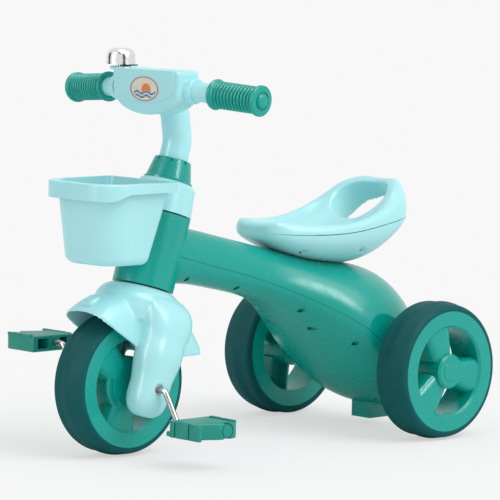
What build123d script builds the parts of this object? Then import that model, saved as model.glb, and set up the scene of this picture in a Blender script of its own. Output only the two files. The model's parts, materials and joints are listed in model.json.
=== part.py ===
from build123d import *
import math
import os

# Children's tricycle with a leaning head, direct-drive front wheel, basket and bell.
# Origin on the ground under the middle of the wheelbase, +Z up, front wheel towards -Y, left side at +X.

os.makedirs("parts", exist_ok=True)

# ---------------------------------------------------------------- driving dimensions (mm, degrees)
WHEELBASE = 447.0
REAR_TRACK = 306.0  # between the middles of the rear wheels
RAKE = 17.0  # lean of the head axis
PLAY = 0.1  # radial running clearance on shafts
GAP = 0.5  # clearance between faces that pass each other

# wheels
WHEEL_R = 95.0
WHEEL_W = 53.0
RIM_R = 83.0
RIM_OPENING_R = 60.6
RIM_WALL = 3.5
TYRE_SHOULDER = 15.0
HUB_R = 24.0
HUB_PROUD = 3.0
HUB_CAP_R = 14.0
HUB_CAP_T = 2.5
SPOKES = 3
SPOKE_DEPTH = 30.0
SPOKE_SUNK = 3.0  # below the outer face of the rim
SPOKE_ROOT_W = 36.0
SPOKE_TIP_W = 54.0
REAR_SPOKE_ANGLE = 109.0  # up from level, seen from the outside
FRONT_SPOKE_ANGLE = 135.0
FRONT_HUB_R = 38.0
FRONT_HUB_SUNK = 6.0
PLATE_R = 27.0
PLATE_T = 2.0

# rear axle
AXLE_R = 5.0
AXLE_NUT_R = 8.5
AXLE_NUT_T = 7.0
SPACER_R = 9.0

# head and steering column, heights measured up the head axis from the front axle
HEAD_R = 41.5
HEAD_WALL = 3.0
HEAD_BOTTOM = 132.0
HEAD_TOP = 232.0
HEAD_PLATE = 5.0
STEERER_R = 14.0
STEERER_WALL = 2.0
STEERER_IN_CROWN = 34.0
BUSH_R = 20.0
BUSH_FLANGE_R = 25.0
BUSH_FLANGE_T = 1.0
BRACKET_GAP = 2.0
BRACKET_H = 42.5
BRACKET_TOP_R = 38.3
BRACKET_WALL = 3.0
BRACKET_SHOULDER = 6.0
COLLAR_H = 30.0
COLLAR_R = 32.8
COLLAR_TOP_R = 24.0
COLLAR_NOTCHES = 8
COLLAR_NOTCH_DEPTH = 5.0
STEM_R = 19.5
STEM_STRAIGHT = 26.0  # above the collar, before the stem bends forward
STEM_BEND_R = 30.0
PIN_R = 2.5

# fork and fender
LEG_INNER = 31.0
LEG_OUTER = 80.5
LEG_DROP = 38.0  # below the axle
LEG_FRONT = 24.0
LEG_REAR = 30.0
CROWN_R = 60.0
CROWN_H = 46.0
SOCKET_WALL = 5.0
WHEEL_ROOM = 9.0  # between tyre and fender
FENDER_HALF_W = 44.0
FENDER_FRONT = 95.0
FENDER_BOW = 4.5  # power of the curve round its front, in plan
FENDER_REAR = 94.0
FENDER_WALL = 4.0
FENDER_TIP_LOW = 70.0
REAR_TIP_LOW = 57.0
FENDER_ROOT_LOW = 47.0
SKIRT_MID = 52.0
FORK_WALL = 3.0

# crank and pedals
CRANK_R = 4.0
CRANK_DROP = 41.6
CRANK_TURN = 5.0  # crank angle behind straight down
CRANK_ELBOW = 90.0
CRANK_END = 111.0
CRANK_BEND_R = 8.0
CRANK_BUSH_R = 7.0
PEDAL_IN = 126.0
PEDAL_LEN = 66.0
PEDAL_DEPTH = 72.0
PEDAL_T = 23.0
PEDAL_PLATE = 3.0
PEDAL_GROOVE = 2.0
PEDAL_GROOVES = (9.5, 37.5)  # from the inner end
PEDAL_BULGE = 6.0
PEDAL_CAP_R = 9.0
PEDAL_CAP_T = 2.5

# body shells
BODY_WALL = 3.0
BODY_FLAT_HALF_W = 104.0  # flat flanks beside the rear wheels
SEAM_GROOVE = 1.0
FOOT_HALF_W = 18.0
FOOT_LEN = 40.0
FOOT_CLEARANCE = 10.0
SCREW_HOLE_R = 3.4
SCREW_HEAD_R = 2.9
SCREW_SHANK_R = 1.5
SCREW_HEAD_T = 2.0
SCREW_SHANK_L = 9.0
SCREW_SINK = 9.0
BOSS_R = 6.0

# seat
SEAT_WALL = 3.0
HANDLE_HALF_W = 46.0
HANDLE_SPAN = 76.0
HANDLE_TILT = 46.0  # slant of its axis below level
HANDLE_Y = 228.0
HANDLE_Z = 316.0
HANDLE_FLARE = 0.12
HANDLE_DRIFT = 0.1

# basket
BASKET_HALF_W = 71.0
BASKET_FRONT = 312.0
BASKET_BACK_GAP = 4.0
BASKET_TOP = 365.0
BASKET_FLOOR = 256.5
BASKET_WALL = 2.5
BASKET_LIP = 8.0
BASKET_SKIRT = 13.0
BASKET_FRONT_SKIRT = 22.0
BASKET_CORNER = 40.0
BASKET_TAPER = 9.0
BASKET_HEEL = 12.0

# handlebar
BAR_Y = -168.0
BAR_Z = 488.0
BAR_R = 13.0
BAR_WALL = 2.0
BAR_HALF = 181.5
BAR_SWEEP = 6.6
BAR_DROOP = 7.4
GRIP_START = 104.0
GRIP_R = 17.0
GRIP_RIB = 1.2
GRIP_RIBS = 11
GRIP_FLANGE_R = 20.5
GRIP_FLANGE_T = 4.0
GRIP_CAP = 5.0
COVER_HALF_W = 64.0
COVER_TOP = 22.0  # above the bar's middle
COVER_DROP = 38.0  # below the bar's middle
COVER_FRONT = 19.0
COVER_BACK = 18.0
COVER_WALL = 2.5
COVER_COLLAR_R = 17.0
COVER_COLLAR_L = 9.0
COVER_SHOULDER = 8.0  # below the bar's middle
COVER_SPLIT = 4.0  # behind the bar's middle
COVER_STEP = 1.5
COVER_BORDER = 8.0
COVER_LUG_X = 46.0
COVER_LUG_DROP = 22.0
COVER_LUG_R = 6.0
BADGE_W = 59.7
BADGE_H = 35.0
BADGE_T = 1.0

# bell
BELL_X = -79.5
BELL_R = 19.8
BELL_H = 22.0
BELL_LEVER_ROOM = 3.0
BELL_WALL = 1.2
BELL_BASE_R = 14.5
BELL_BASE_T = 4.0
BELL_BASE_Z = 506.0
BELL_POST_R = 2.5
BELL_CLAMP_R = 17.0
BELL_CLAMP_L = 10.0
BELL_LEVER_REACH = 20.0
BELL_LEVER_TURN = 40.0  # from straight back, towards the middle
BELL_LEVER_R = 1.6

# shapes given by stations
LEG_STATIONS = [  # height, width share, depth share, shift towards the middle, shift back
    (-LEG_DROP, 0.30, 0.30, 0, 0),
    (-34.5, 0.66, 0.62, 0, 0),
    (-24, 0.93, 0.90, 0, 0),
    (-8, 1.0, 0.98, 0, 0),
    (20, 1.0, 1.06, 0, 1),
    (60, 1.0, 1.22, -1, 4),
    (85, 0.99, 1.38, -3, 7),
    (100, 0.95, 1.44, -6, 6),
    (111, 0.86, 1.38, -11, 5),
    (119, 0.72, 1.20, -17, 3),
    (124, 0.55, 0.95, -22, 1),
]
VISOR_STATIONS = [  # share of the reach, half-width share, top, arch power
    (0, 1.0, 122, 2.9),
    (0.35, 1.0, 116, 2.8),
    (0.6, 0.99, 106, 2.7),
    (0.8, 0.97, 94, 2.6),
    (0.93, 0.95, 82, 2.5),
    (1.0, 0.94, 75, 2.5),
]
NECK_Y = -165.0
BODY_TOP = [  # share of the length from neck to rear axle, height
    (0, 306), (0.17, 293), (0.43, 269), (0.68, 246), (0.88, 235.5), (1.0, 221.5), (1.1, 197),
    (1.17, 169), (1.22, 130),
]
BODY_SEAM = [
    (0, 266), (0.17, 249), (0.43, 221), (0.65, 185), (0.76, 159), (0.85, 135), (1.0, 95),
    (1.12, 75), (1.22, 70),
]
BODY_BOTTOM = [
    (0, 227), (0.17, 218), (0.43, 196), (0.54, 178), (0.66, 147), (0.79, 102), (0.91, 59),
    (1.04, 30), (1.16, 32), (1.22, 50),
]
BODY_HALF_W = [
    (0, 36), (0.3, 38), (0.43, 44), (0.53, 54), (0.65, 76), (0.72, 91), (0.81, 106), (0.92, 112),
    (1.0, 106), (1.1, 86), (1.17, 62), (1.22, 34),
]
BODY_ENDS = (0, 1.22)
BODY_SHARES = (0, 0.12, 0.25, 0.38, 0.5, 0.6, 0.7, 0.8, 0.9, 1.0, 1.08, 1.15, 1.195, 1.22)
BODY_SCREWS = [  # share along, height
    (0.095, 230), (0.326, 213), (0.586, 178), (0.664, 150), (0.769, 131),
]
SEAT_HALF = [  # distance along the tricycle, half width
    (16, 27), (20, 37), (30, 47), (52, 57), (86, 68), (120, 75), (160, 79), (205, 79), (235, 73),
    (252, 62), (263, 50), (272, 35), (277, 23), (279, 15),
]
SEAT_CREST = [  # distance along, height of the side rims
    (16, 292), (20, 297), (30, 300), (52, 298), (86, 295), (140, 297), (187, 309), (208, 320),
    (222, 329), (232, 336.5), (242, 343), (255, 348), (266, 349), (274, 343), (279, 330),
]
SEAT_SEAM = [  # distance along, height of the joint between the shells
    (16, 285), (50, 282), (108, 281.5), (161, 286), (206, 293.5), (243, 298.5), (268, 302), (279, 304),
]
SEAT_KEEL = [  # distance along, height of the underside
    (16, 278), (20, 273), (30, 268), (60, 254), (100, 242), (146, 235), (180, 236), (213, 250),
    (240, 272), (262, 285), (274, 290), (279, 292),
]
SEAT_BOWL = [  # distance along, height of the sitting face in the middle
    (16, 290), (20, 295), (30, 297), (52, 287), (90, 273), (130, 271), (165, 280), (200, 298),
    (230, 319), (246, 334), (257, 344), (266, 348), (274, 342), (279, 329),
]
SEAT_RIM = [(16, 9), (185, 9), (235, 20), (279, 22)]  # distance along, width of the rolled rim
SEAT_PLACES = (16, 20, 30, 46, 66, 92, 125, 160, 195, 222, 242, 256, 266, 273, 277, 279)
SEAT_SCREWS = [(72, 257), (160, 257)]
HOOK_HALF_W = 16.0
HOOK_LOW = 238.0
HOOK_HIGH = 262.0
HOOK_SCREW_X = 9.0

# worked out from the sizes above
FRONT_AXLE = (0, -WHEELBASE / 2, WHEEL_R)
REAR_Y = WHEELBASE / 2
WHEEL_X = REAR_TRACK / 2
WHEEL_ROOM_R = WHEEL_R + WHEEL_ROOM
BRACKET_BOTTOM = HEAD_TOP + BRACKET_GAP
BRACKET_TOP = BRACKET_BOTTOM + BRACKET_H
COLLAR_TOP = BRACKET_TOP + COLLAR_H
FORK_TOP = HEAD_BOTTOM - BUSH_FLANGE_T - GAP
BUSH_BORE = STEERER_R + PLAY

COS_RAKE = math.cos(math.radians(RAKE))
SIN_RAKE = math.sin(math.radians(RAKE))

# Steering pieces are drawn upright in the frame of the head axis and leaned back into place.
STEERING = Plane(origin=FRONT_AXLE, x_dir=(1, 0, 0), z_dir=(0, SIN_RAKE, COS_RAKE)).location


def save(name, shape):
    """Write one node as a STEP file."""
    export_step(shape, f"parts/{name}.step")


def cylinder_x(radius, x0, x1, y=0.0, z=0.0):
    """A cylinder along X between x0 and x1."""
    plane = Plane(origin=(x0, y, z), x_dir=(0, 1, 0), z_dir=(1, 0, 0))
    return extrude(plane * Circle(radius), x1 - x0)


def cylinder_z(radius, z0, z1, x=0.0, y=0.0):
    """A cylinder along Z between z0 and z1."""
    return Pos(x, y, z0) * extrude(Circle(radius), z1 - z0)


def block(x0, x1, y0, y1, z0, z1):
    """A box between two corners."""
    size = Box(x1 - x0, y1 - y0, z1 - z0)
    return Pos((x0 + x1) / 2, (y0 + y1) / 2, (z0 + z1) / 2) * size


def lathe(points):
    """A solid of revolution about Z from (radius, height) points."""
    profile = Plane.XZ * make_face(Polyline(*points, close=True))
    return revolve(profile, Axis.Z)


def to_x(shape, x, y, z, side=1):
    """Lay a part drawn along +Z so that it points along X, outwards on the given side."""
    turn = Rotation(0, 90 * side, 0)
    return Pos(x, y, z) * turn * shape


def both_sides(shape):
    """The shape and its mirror image across the middle plane."""
    return Compound(children=[*shape.solids(), *mirror(shape, Plane.YZ).solids()])


def bump(value, power):
    """A signed power, for superellipse outlines."""
    return math.copysign(abs(value) ** (2 / power), value)


def blend(stations, at):
    """Smooth value at one place between (place, value) stations."""
    places = [s[0] for s in stations]
    values = [s[1] for s in stations]
    if at <= places[0]:
        return values[0]
    if at >= places[-1]:
        return values[-1]
    i = max(k for k in range(len(places) - 1) if places[k] <= at)
    step = places[i + 1] - places[i]

    def slope(k):
        low = max(k - 1, 0)
        high = min(k + 1, len(places) - 1)
        return (values[high] - values[low]) / (places[high] - places[low])

    t = (at - places[i]) / step
    rise = values[i + 1] - values[i]
    m0 = slope(i) * step
    m1 = slope(i + 1) * step
    return values[i] + m0 * t + (3 * rise - 2 * m0 - m1) * t**2 + (m0 + m1 - 2 * rise) * t**3


def inset_ring(ring, depth):
    """Move a closed ring of (x, z) points inwards by a wall thickness."""
    moved = []
    for i, (x, z) in enumerate(ring):
        before = ring[i - 1]
        after = ring[(i + 1) % len(ring)]
        run = math.hypot(after[0] - before[0], after[1] - before[1])
        moved.append((x - depth * (after[1] - before[1]) / run, z + depth * (after[0] - before[0]) / run))
    return moved


def skin(rings):
    """A smooth solid through closed rings of points, one ring per station."""
    wires = [Wire([Edge.make_spline([Vector(*p) for p in ring], periodic=True)]) for ring in rings]
    return loft([Face(wire) for wire in wires])


# ---------------------------------------------------------------- wheels, drawn about Z, outer face up
def tyre():
    """Smooth tyre with a rounded crown, moulded over the rim."""
    half = WHEEL_W / 2
    side = half - TYRE_SHOULDER
    with BuildSketch(Plane.XZ) as profile:
        with BuildLine():
            Line((RIM_R, -half), (RIM_R, half))
            Line((RIM_R, half), (RIM_R + 1, half))
            Spline(
                (RIM_R + 1, half),
                (WHEEL_R - 2.2, side + 3),
                (WHEEL_R, 0),
                (WHEEL_R - 2.2, -side - 3),
                (RIM_R + 1, -half),
                tangents=[(1, 0), (-1, 0)],
            )
            Line((RIM_R + 1, -half), (RIM_R, -half))
        make_face()
    return revolve(profile.sketch, Axis.Z)


def spoke(angle):
    """One blade from the hub to the rim, its outer face arched and its back hollow."""
    root = HUB_R - 4
    tip = RIM_OPENING_R + 1.5
    top = WHEEL_W / 2 - SPOKE_SUNK

    def blade(inset, floor, ceiling):
        outline = Polyline(
            (root, -SPOKE_ROOT_W / 2 + inset),
            (tip, -SPOKE_TIP_W / 2 + inset),
            (tip, SPOKE_TIP_W / 2 - inset),
            (root, SPOKE_ROOT_W / 2 - inset),
            close=True,
        )
        return Pos(0, 0, floor) * extrude(make_face(outline), ceiling - floor)

    outer = blade(0, top - SPOKE_DEPTH, top)
    crown = outer.edges().filter_by(lambda e: e.center().Z > top - 0.1 and abs(e.center().Y) > 5)
    outer = fillet(crown, 12)
    hollow = blade(RIM_WALL, top - SPOKE_DEPTH - 1, top - 13)
    return Rotation(0, 0, angle + 90) * (outer - hollow)


def rim(first_spoke, hub_r, hub_face, bore):
    """Rim ring with its opening, spokes and hub, as one moulding."""
    half = WHEEL_W / 2
    hub_inner = -half
    ring = lathe(
        [
            (RIM_OPENING_R, -half + 2),
            (RIM_OPENING_R + 2, -half),
            (RIM_R, -half),
            (RIM_R, half),
            (RIM_OPENING_R + 3, half),
            (RIM_OPENING_R, half - 3),
        ]
    )
    groove = lathe(
        [
            (RIM_OPENING_R + RIM_WALL, -half - 1),
            (RIM_R - RIM_WALL, -half - 1),
            (RIM_R - RIM_WALL, half - RIM_WALL),
            (RIM_OPENING_R + RIM_WALL, half - RIM_WALL),
        ]
    )
    ring -= groove
    back = lathe(
        [
            (RIM_OPENING_R + 1, -half),
            (RIM_R - 1, -half),
            (RIM_R - 1, -half + RIM_WALL),
            (RIM_OPENING_R + 1, -half + RIM_WALL),
        ]
    )
    drain = cylinder_z(2.0, -half - 1, -half + RIM_WALL + 1, x=(RIM_R + RIM_OPENING_R) / 2)
    ring = ring + back - drain
    hub = lathe(
        [
            (0, hub_inner),
            (hub_r, hub_inner),
            (hub_r, hub_face - 3),
            (hub_r - 3, hub_face),
            (0, hub_face),
        ]
    )
    spokes = [spoke(first_spoke + i * 360 / SPOKES) for i in range(SPOKES)]
    keep_out = cylinder_z(RIM_OPENING_R + 1, -half, half)
    whole = ring + hub
    for blade in spokes:
        whole += blade & keep_out
    return whole - cylinder_z(bore, hub_inner - 1, hub_face + 1)


def hub_pocket():
    """Pocket in the outer face of a rear hub for the axle nut, with a seat for the cap."""
    top = WHEEL_W / 2 + HUB_PROUD
    pocket = cylinder_z(AXLE_NUT_R + 2.5, top - HUB_CAP_T - AXLE_NUT_T - 4, top + 1)
    return pocket + cylinder_z(HUB_CAP_R, top - HUB_CAP_T, top + 1)


def hub_cap():
    """Flat round cap pressed into a rear hub."""
    top = WHEEL_W / 2 + HUB_PROUD
    disc = cylinder_z(HUB_CAP_R, top - HUB_CAP_T, top + 0.8)
    return fillet(disc.edges().group_by(Axis.Z)[-1], 0.6)


def make_wheels():
    """All three wheels, each a tyre on a rim, with hub caps behind and drive plates in front."""
    half = WHEEL_W / 2
    rear_rim = rim(REAR_SPOKE_ANGLE, HUB_R, half + HUB_PROUD, AXLE_R + PLAY) - hub_pocket()
    hub_face = half - FRONT_HUB_SUNK
    front_rim = rim(FRONT_SPOKE_ANGLE, FRONT_HUB_R, hub_face, CRANK_R)
    for side, label in ((1, "left"), (-1, "right")):
        place = (side * WHEEL_X, REAR_Y, WHEEL_R)
        save(f"{label}_rear_tyre", to_x(tyre(), *place, side=side))
        save(f"{label}_rear_rim", to_x(rear_rim, *place, side=side))
        save(f"{label}_hub_cap", to_x(hub_cap(), *place, side=side))
    save("front_tyre", to_x(tyre(), *FRONT_AXLE))
    seats = cylinder_z(PLATE_R, -half - 1, -half + PLATE_T)
    seats += cylinder_z(PLATE_R, hub_face - PLATE_T, half + 1)
    for radius in (FRONT_HUB_R - 4, FRONT_HUB_R - 7):
        groove = cylinder_z(radius, hub_face - 1, hub_face + 1)
        seats += groove - cylinder_z(radius - 1.2, hub_face - 2, half)
    save("front_rim", to_x(front_rim - seats, *FRONT_AXLE))
    plates = cylinder_z(PLATE_R, -half, -half + PLATE_T) + cylinder_z(PLATE_R, hub_face - PLATE_T, hub_face)
    save("drive_plates", to_x(plates - cylinder_z(CRANK_R, -half - 1, half + 1), *FRONT_AXLE))


# ---------------------------------------------------------------- crank and pedals
def crank_end(side):
    """Middle of one pedal spindle: the left one hangs down, the right one stands up."""
    turn = math.radians(CRANK_TURN)
    y = FRONT_AXLE[1] + side * CRANK_DROP * math.sin(turn)
    z = FRONT_AXLE[2] - side * CRANK_DROP * math.cos(turn)
    return y, z


def make_crank():
    """One bent steel rod through the front wheel, from pedal to pedal."""
    spindle_end = PEDAL_IN + PEDAL_LEN - PEDAL_CAP_T - 2
    left_y, left_z = crank_end(1)
    right_y, right_z = crank_end(-1)
    route = FilletPolyline(
        (-spindle_end, right_y, right_z),
        (-CRANK_END, right_y, right_z),
        (-CRANK_ELBOW, FRONT_AXLE[1], FRONT_AXLE[2]),
        (CRANK_ELBOW, FRONT_AXLE[1], FRONT_AXLE[2]),
        (CRANK_END, left_y, left_z),
        (spindle_end, left_y, left_z),
        radius=CRANK_BEND_R,
    )
    start = Plane(origin=(-spindle_end, right_y, right_z), x_dir=(0, 1, 0), z_dir=(1, 0, 0))
    save("crank_axle", sweep(start * Circle(CRANK_R), path=route))
    bush = cylinder_x(CRANK_BUSH_R, LEG_INNER, LEG_OUTER - 4)
    bush += cylinder_x(CRANK_BUSH_R + 2, LEG_INNER - 1.5, LEG_INNER)
    bush = Pos(*FRONT_AXLE) * (bush - cylinder_x(CRANK_R + PLAY, 0, LEG_OUTER))
    save("crank_bushes", both_sides(bush))


def pedal():
    """Pedal drawn at the origin, long side along X from its inner end, top at +Z."""
    half_y = PEDAL_DEPTH / 2
    half_z = PEDAL_T / 2
    straight = PEDAL_LEN - PEDAL_BULGE
    with BuildSketch() as outline:
        with BuildLine():
            Polyline((straight, half_y), (0, half_y), (0, -half_y), (straight, -half_y))
            ThreePointArc((straight, half_y), (PEDAL_LEN, 0), (straight, -half_y))
        make_face()
    body = Pos(0, 0, -half_z) * extrude(outline.sketch, PEDAL_T)
    body = fillet(body.edges().filter_by(Axis.Z), 2.5)
    # windows at the inner end, each side of the spindle boss
    for side in (1, -1):
        near = side * (CRANK_R + 6)
        far = side * (half_y - 7)
        middle = (near + far) / 2
        for low, high in ((near, middle - side), (middle + side, far)):
            y0, y1 = sorted((low, high))
            body -= block(-1, PEDAL_LEN - 16, y0, y1, -half_z + PEDAL_PLATE, half_z - PEDAL_PLATE)
    # upright grooves in the front and back faces, running on over the top and bottom plates
    for x in PEDAL_GROOVES:
        for side in (1, -1):
            face = sorted((side * (half_y - PEDAL_GROOVE), side * (half_y + 1)))
            body -= block(x - 0.8, x + 0.8, *face, -half_z - 1, half_z + 1)
        body -= block(x - 0.8, x + 0.8, -half_y - 1, half_y + 1, half_z - 0.8, half_z + 1)
        body -= block(x - 0.8, x + 0.8, -half_y - 1, half_y + 1, -half_z - 1, -half_z + 0.8)
    body -= cylinder_x(CRANK_R + PLAY, -1, PEDAL_LEN + 1)
    return body - cylinder_x(PEDAL_CAP_R, PEDAL_LEN - PEDAL_CAP_T, PEDAL_LEN + 1)


def make_pedals():
    """Both pedals with their round end caps."""
    body = pedal()
    cap = cylinder_x(PEDAL_CAP_R, PEDAL_LEN - PEDAL_CAP_T, PEDAL_LEN + 0.8)
    for side, label in ((1, "left"), (-1, "right")):
        place = Pos(side * PEDAL_IN, *crank_end(side)) * Rotation(0, 0, 90 - 90 * side)
        save(f"{label}_pedal", place * body)
        save(f"{label}_pedal_cap", place * cap)


# ---------------------------------------------------------------- fork and fender


def leg(side, inset=0.0):
    """One fork leg, a soft rounded column from the crown to below the crank."""
    middle = (LEG_INNER + LEG_OUTER) / 2
    half_x = (LEG_OUTER - LEG_INNER) / 2
    half_y = (LEG_FRONT + LEG_REAR) / 2
    shift = (LEG_REAR - LEG_FRONT) / 2
    rings = []
    for height, wide, deep, inward, back in LEG_STATIONS:
        ring = []
        z = height + inset * height / LEG_STATIONS[0][0]
        for i in range(20):
            angle = math.radians(i * 18)
            x = middle + inward + max(half_x * wide - inset, 2) * bump(math.cos(angle), 2.6)
            y = shift + back + max(half_y * deep - inset, 2) * bump(math.sin(angle), 2.4)
            ring.append((side * x, y, z))
        rings.append(ring)
    return skin(rings)


def visor(reach, inset=0.0):
    """Fender wing ahead (reach < 0) or behind: an arch over the tyre, its skirts not yet trimmed."""
    way = math.copysign(1, reach)
    root = SOCKET_WALL + STEERER_R
    rings = []
    for share, wide, top, power in VISOR_STATIONS:
        ring = []
        for i in range(28):
            angle = math.radians(i * 360 / 28)
            x = (FENDER_HALF_W * wide - inset) * bump(math.cos(angle), power)
            rise = (top - inset - SKIRT_MID) if math.sin(angle) > 0 else SKIRT_MID
            z = SKIRT_MID + rise * bump(math.sin(angle), power)
            ring.append((x, way * (root + share * (abs(reach) - root)), z))
        rings.append(ring)
    return skin(rings)


def under_skirts():
    """Everything below the slanting lower edges of the fender's skirts."""
    front = (-140, FENDER_TIP_LOW + 45 * (FENDER_TIP_LOW - FENDER_ROOT_LOW) / 75)
    rear = (140, REAR_TIP_LOW + 45 * (REAR_TIP_LOW - FENDER_ROOT_LOW) / 75)
    with BuildSketch(Plane.YZ) as side:
        with BuildLine():
            Polyline(front, (-20, FENDER_ROOT_LOW), (20, FENDER_ROOT_LOW), rear)
            Polyline(rear, (140, -60), (-140, -60), front)
        make_face()
    return extrude(side.sketch, 70, both=True)


def visor_plan():
    """Everything inside the fender's outline seen from above, its front bowed."""
    points = []
    for i in range(25):
        angle = math.radians(i * 7.5)
        x = (FENDER_HALF_W + 1) * bump(math.cos(angle), FENDER_BOW)
        points.append((x, -20 - (FENDER_FRONT - 20) * bump(math.sin(angle), FENDER_BOW)))
    with BuildSketch() as plan:
        with BuildLine():
            Spline(*points)
            Polyline(points[-1], (points[-1][0], 200), (points[0][0], 200), points[0])
        make_face()
    return Pos(0, 0, -50) * extrude(plan.sketch, 250)


def make_fork():
    """Fork crown, legs and fender as one moulding round the front wheel."""
    crown = lathe(
        [
            (0, FORK_TOP - CROWN_H),
            (CROWN_R - 3, FORK_TOP - CROWN_H),
            (CROWN_R, FORK_TOP - CROWN_H + 14),
            (CROWN_R - 1, FORK_TOP - 19),
            (CROWN_R - 5, FORK_TOP - 11),
            (CROWN_R - 11, FORK_TOP - 5),
            (CROWN_R - 18, FORK_TOP - 1),
            (CROWN_R - 24, FORK_TOP),
            (0, FORK_TOP),
        ]
    )
    pocket = lathe(
        [
            (STEERER_R + SOCKET_WALL, FORK_TOP - CROWN_H + FORK_WALL),
            (CROWN_R - 2 * FORK_WALL, FORK_TOP - CROWN_H + FORK_WALL),
            (CROWN_R - 2 * FORK_WALL, FORK_TOP - 22),
            (CROWN_R - FORK_WALL - 10, FORK_TOP - 12),
            (STEERER_R + SOCKET_WALL, FORK_TOP - 8),
        ]
    )
    nub = Pos(0, -FENDER_FRONT + 15, 94) * Rotation(36, 0, 0) * Box(19, 17, 11)
    wings = (visor(-FENDER_FRONT - 1) & visor_plan()) + visor(FENDER_REAR) + fillet(nub.edges(), 2)
    body = crown + leg(1) + leg(-1) + (wings - under_skirts())
    body = body - visor(-FENDER_FRONT - 2, FENDER_WALL) - visor(FENDER_REAR + 1, FENDER_WALL) - pocket
    body -= cylinder_x(WHEEL_ROOM_R, -LEG_INNER, LEG_INNER)
    body -= block(-LEG_INNER, LEG_INNER, -120, 120, -130, 0)
    for side in (1, -1):
        boss = cylinder_x(CRANK_BUSH_R + 4, side * LEG_INNER, side * LEG_OUTER)
        sides = sorted((side * (LEG_INNER - 1), side * LEG_OUTER))
        room = block(*sides, -60, 60, 4 - LEG_DROP, FORK_TOP - 32)
        body -= (leg(side, FORK_WALL) & room) - boss
    body -= cylinder_z(STEERER_R, FORK_TOP - CROWN_H - 20, FORK_TOP + 1)
    body -= cylinder_x(CRANK_BUSH_R, -LEG_OUTER - 5, LEG_OUTER + 5)
    save("fork_fender", STEERING * body)


# ---------------------------------------------------------------- body shells
def along(share):
    """Place along the body: 0 at the head, 1 over the rear axle."""
    return NECK_Y + share * (REAR_Y - NECK_Y)


def body_section(share, inset):
    """Half-width and the top, seam and bottom heights of the body at one place."""
    half = blend(BODY_HALF_W, share) - inset
    top = blend(BODY_TOP, share) - inset
    seam = blend(BODY_SEAM, share)
    bottom = blend(BODY_BOTTOM, share) + inset
    return half, top, seam, bottom


def body_form(inset):
    """The whole body from the head to the tail, each section a rounded superellipse."""
    rings = []
    slack = inset / (REAR_Y - NECK_Y)
    for share in BODY_SHARES:
        held = min(max(share, BODY_ENDS[0]), BODY_ENDS[1] - slack)
        half, top, seam, bottom = body_section(held, inset)
        ring = []
        for i in range(28):
            angle = math.radians(i * 360 / 28 - 90)
            x = half * bump(math.cos(angle), 2.25)
            rise = top - seam if math.sin(angle) > 0 else seam - bottom
            ring.append((x, along(held), seam + rise * bump(math.sin(angle), 2.1)))
        rings.append(ring)
    flank = BODY_FLAT_HALF_W - inset
    return skin(rings) & block(-flank, flank, -400, 400, -50, 500)


def surface_x(y, z):
    """Half-width of the body's surface at a place on its lower flank."""
    share = (y - NECK_Y) / (REAR_Y - NECK_Y)
    half, top, seam, bottom = body_section(share, 0)
    rise = top - seam if z > seam else seam - bottom
    sine = min(abs(z - seam) / rise, 1) ** (2.1 / 2)
    return min(half * bump(math.sqrt(1 - sine**2), 2.25), BODY_FLAT_HALF_W)


def over_seam(lift=0.0):
    """Everything above the parting line, from in front of the head to behind the tail."""
    shares = (-0.3, 0, 0.15, 0.3, 0.45, 0.6, 0.72, 0.85, 1.0, 1.12, 1.3)
    heights = [blend(BODY_SEAM, s) for s in shares]
    heights[0] = blend(BODY_SEAM, 0) + 0.3 * 0.28 * (REAR_Y - NECK_Y)
    points = [(along(s), h + lift) for s, h in zip(shares, heights)]
    with BuildSketch(Plane.YZ) as side:
        with BuildLine():
            Spline(*points)
            Polyline(points[-1], (points[-1][0], 600), (points[0][0], 600), points[0])
        make_face()
    return extrude(side.sketch, 200, both=True)


def screw_set(places):
    """Bosses, the holes through them, and the sunk pan-head screws, at (x, y, z) places on both sides."""
    bosses = []
    cuts = []
    screws = []
    for x, y, z in places:
        seat = x - SCREW_SINK
        for side in (1, -1):
            bosses.append(cylinder_x(BOSS_R, side * (seat - 6), side * (x + 4), y, z))
            cuts.append(cylinder_x(SCREW_HOLE_R, side * seat, side * (x + 8), y, z))
            cuts.append(cylinder_x(SCREW_SHANK_R, side * (seat - SCREW_SHANK_L), side * x, y, z))
            head = cylinder_x(SCREW_HEAD_R, side * seat, side * (seat + SCREW_HEAD_T), y, z)
            screws.append(head + cylinder_x(SCREW_SHANK_R, side * (seat - SCREW_SHANK_L), side * seat, y, z))
    solids = [s for one in screws for s in one.solids()]
    return Part() + bosses, Part() + cuts, Compound(children=solids)


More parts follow.
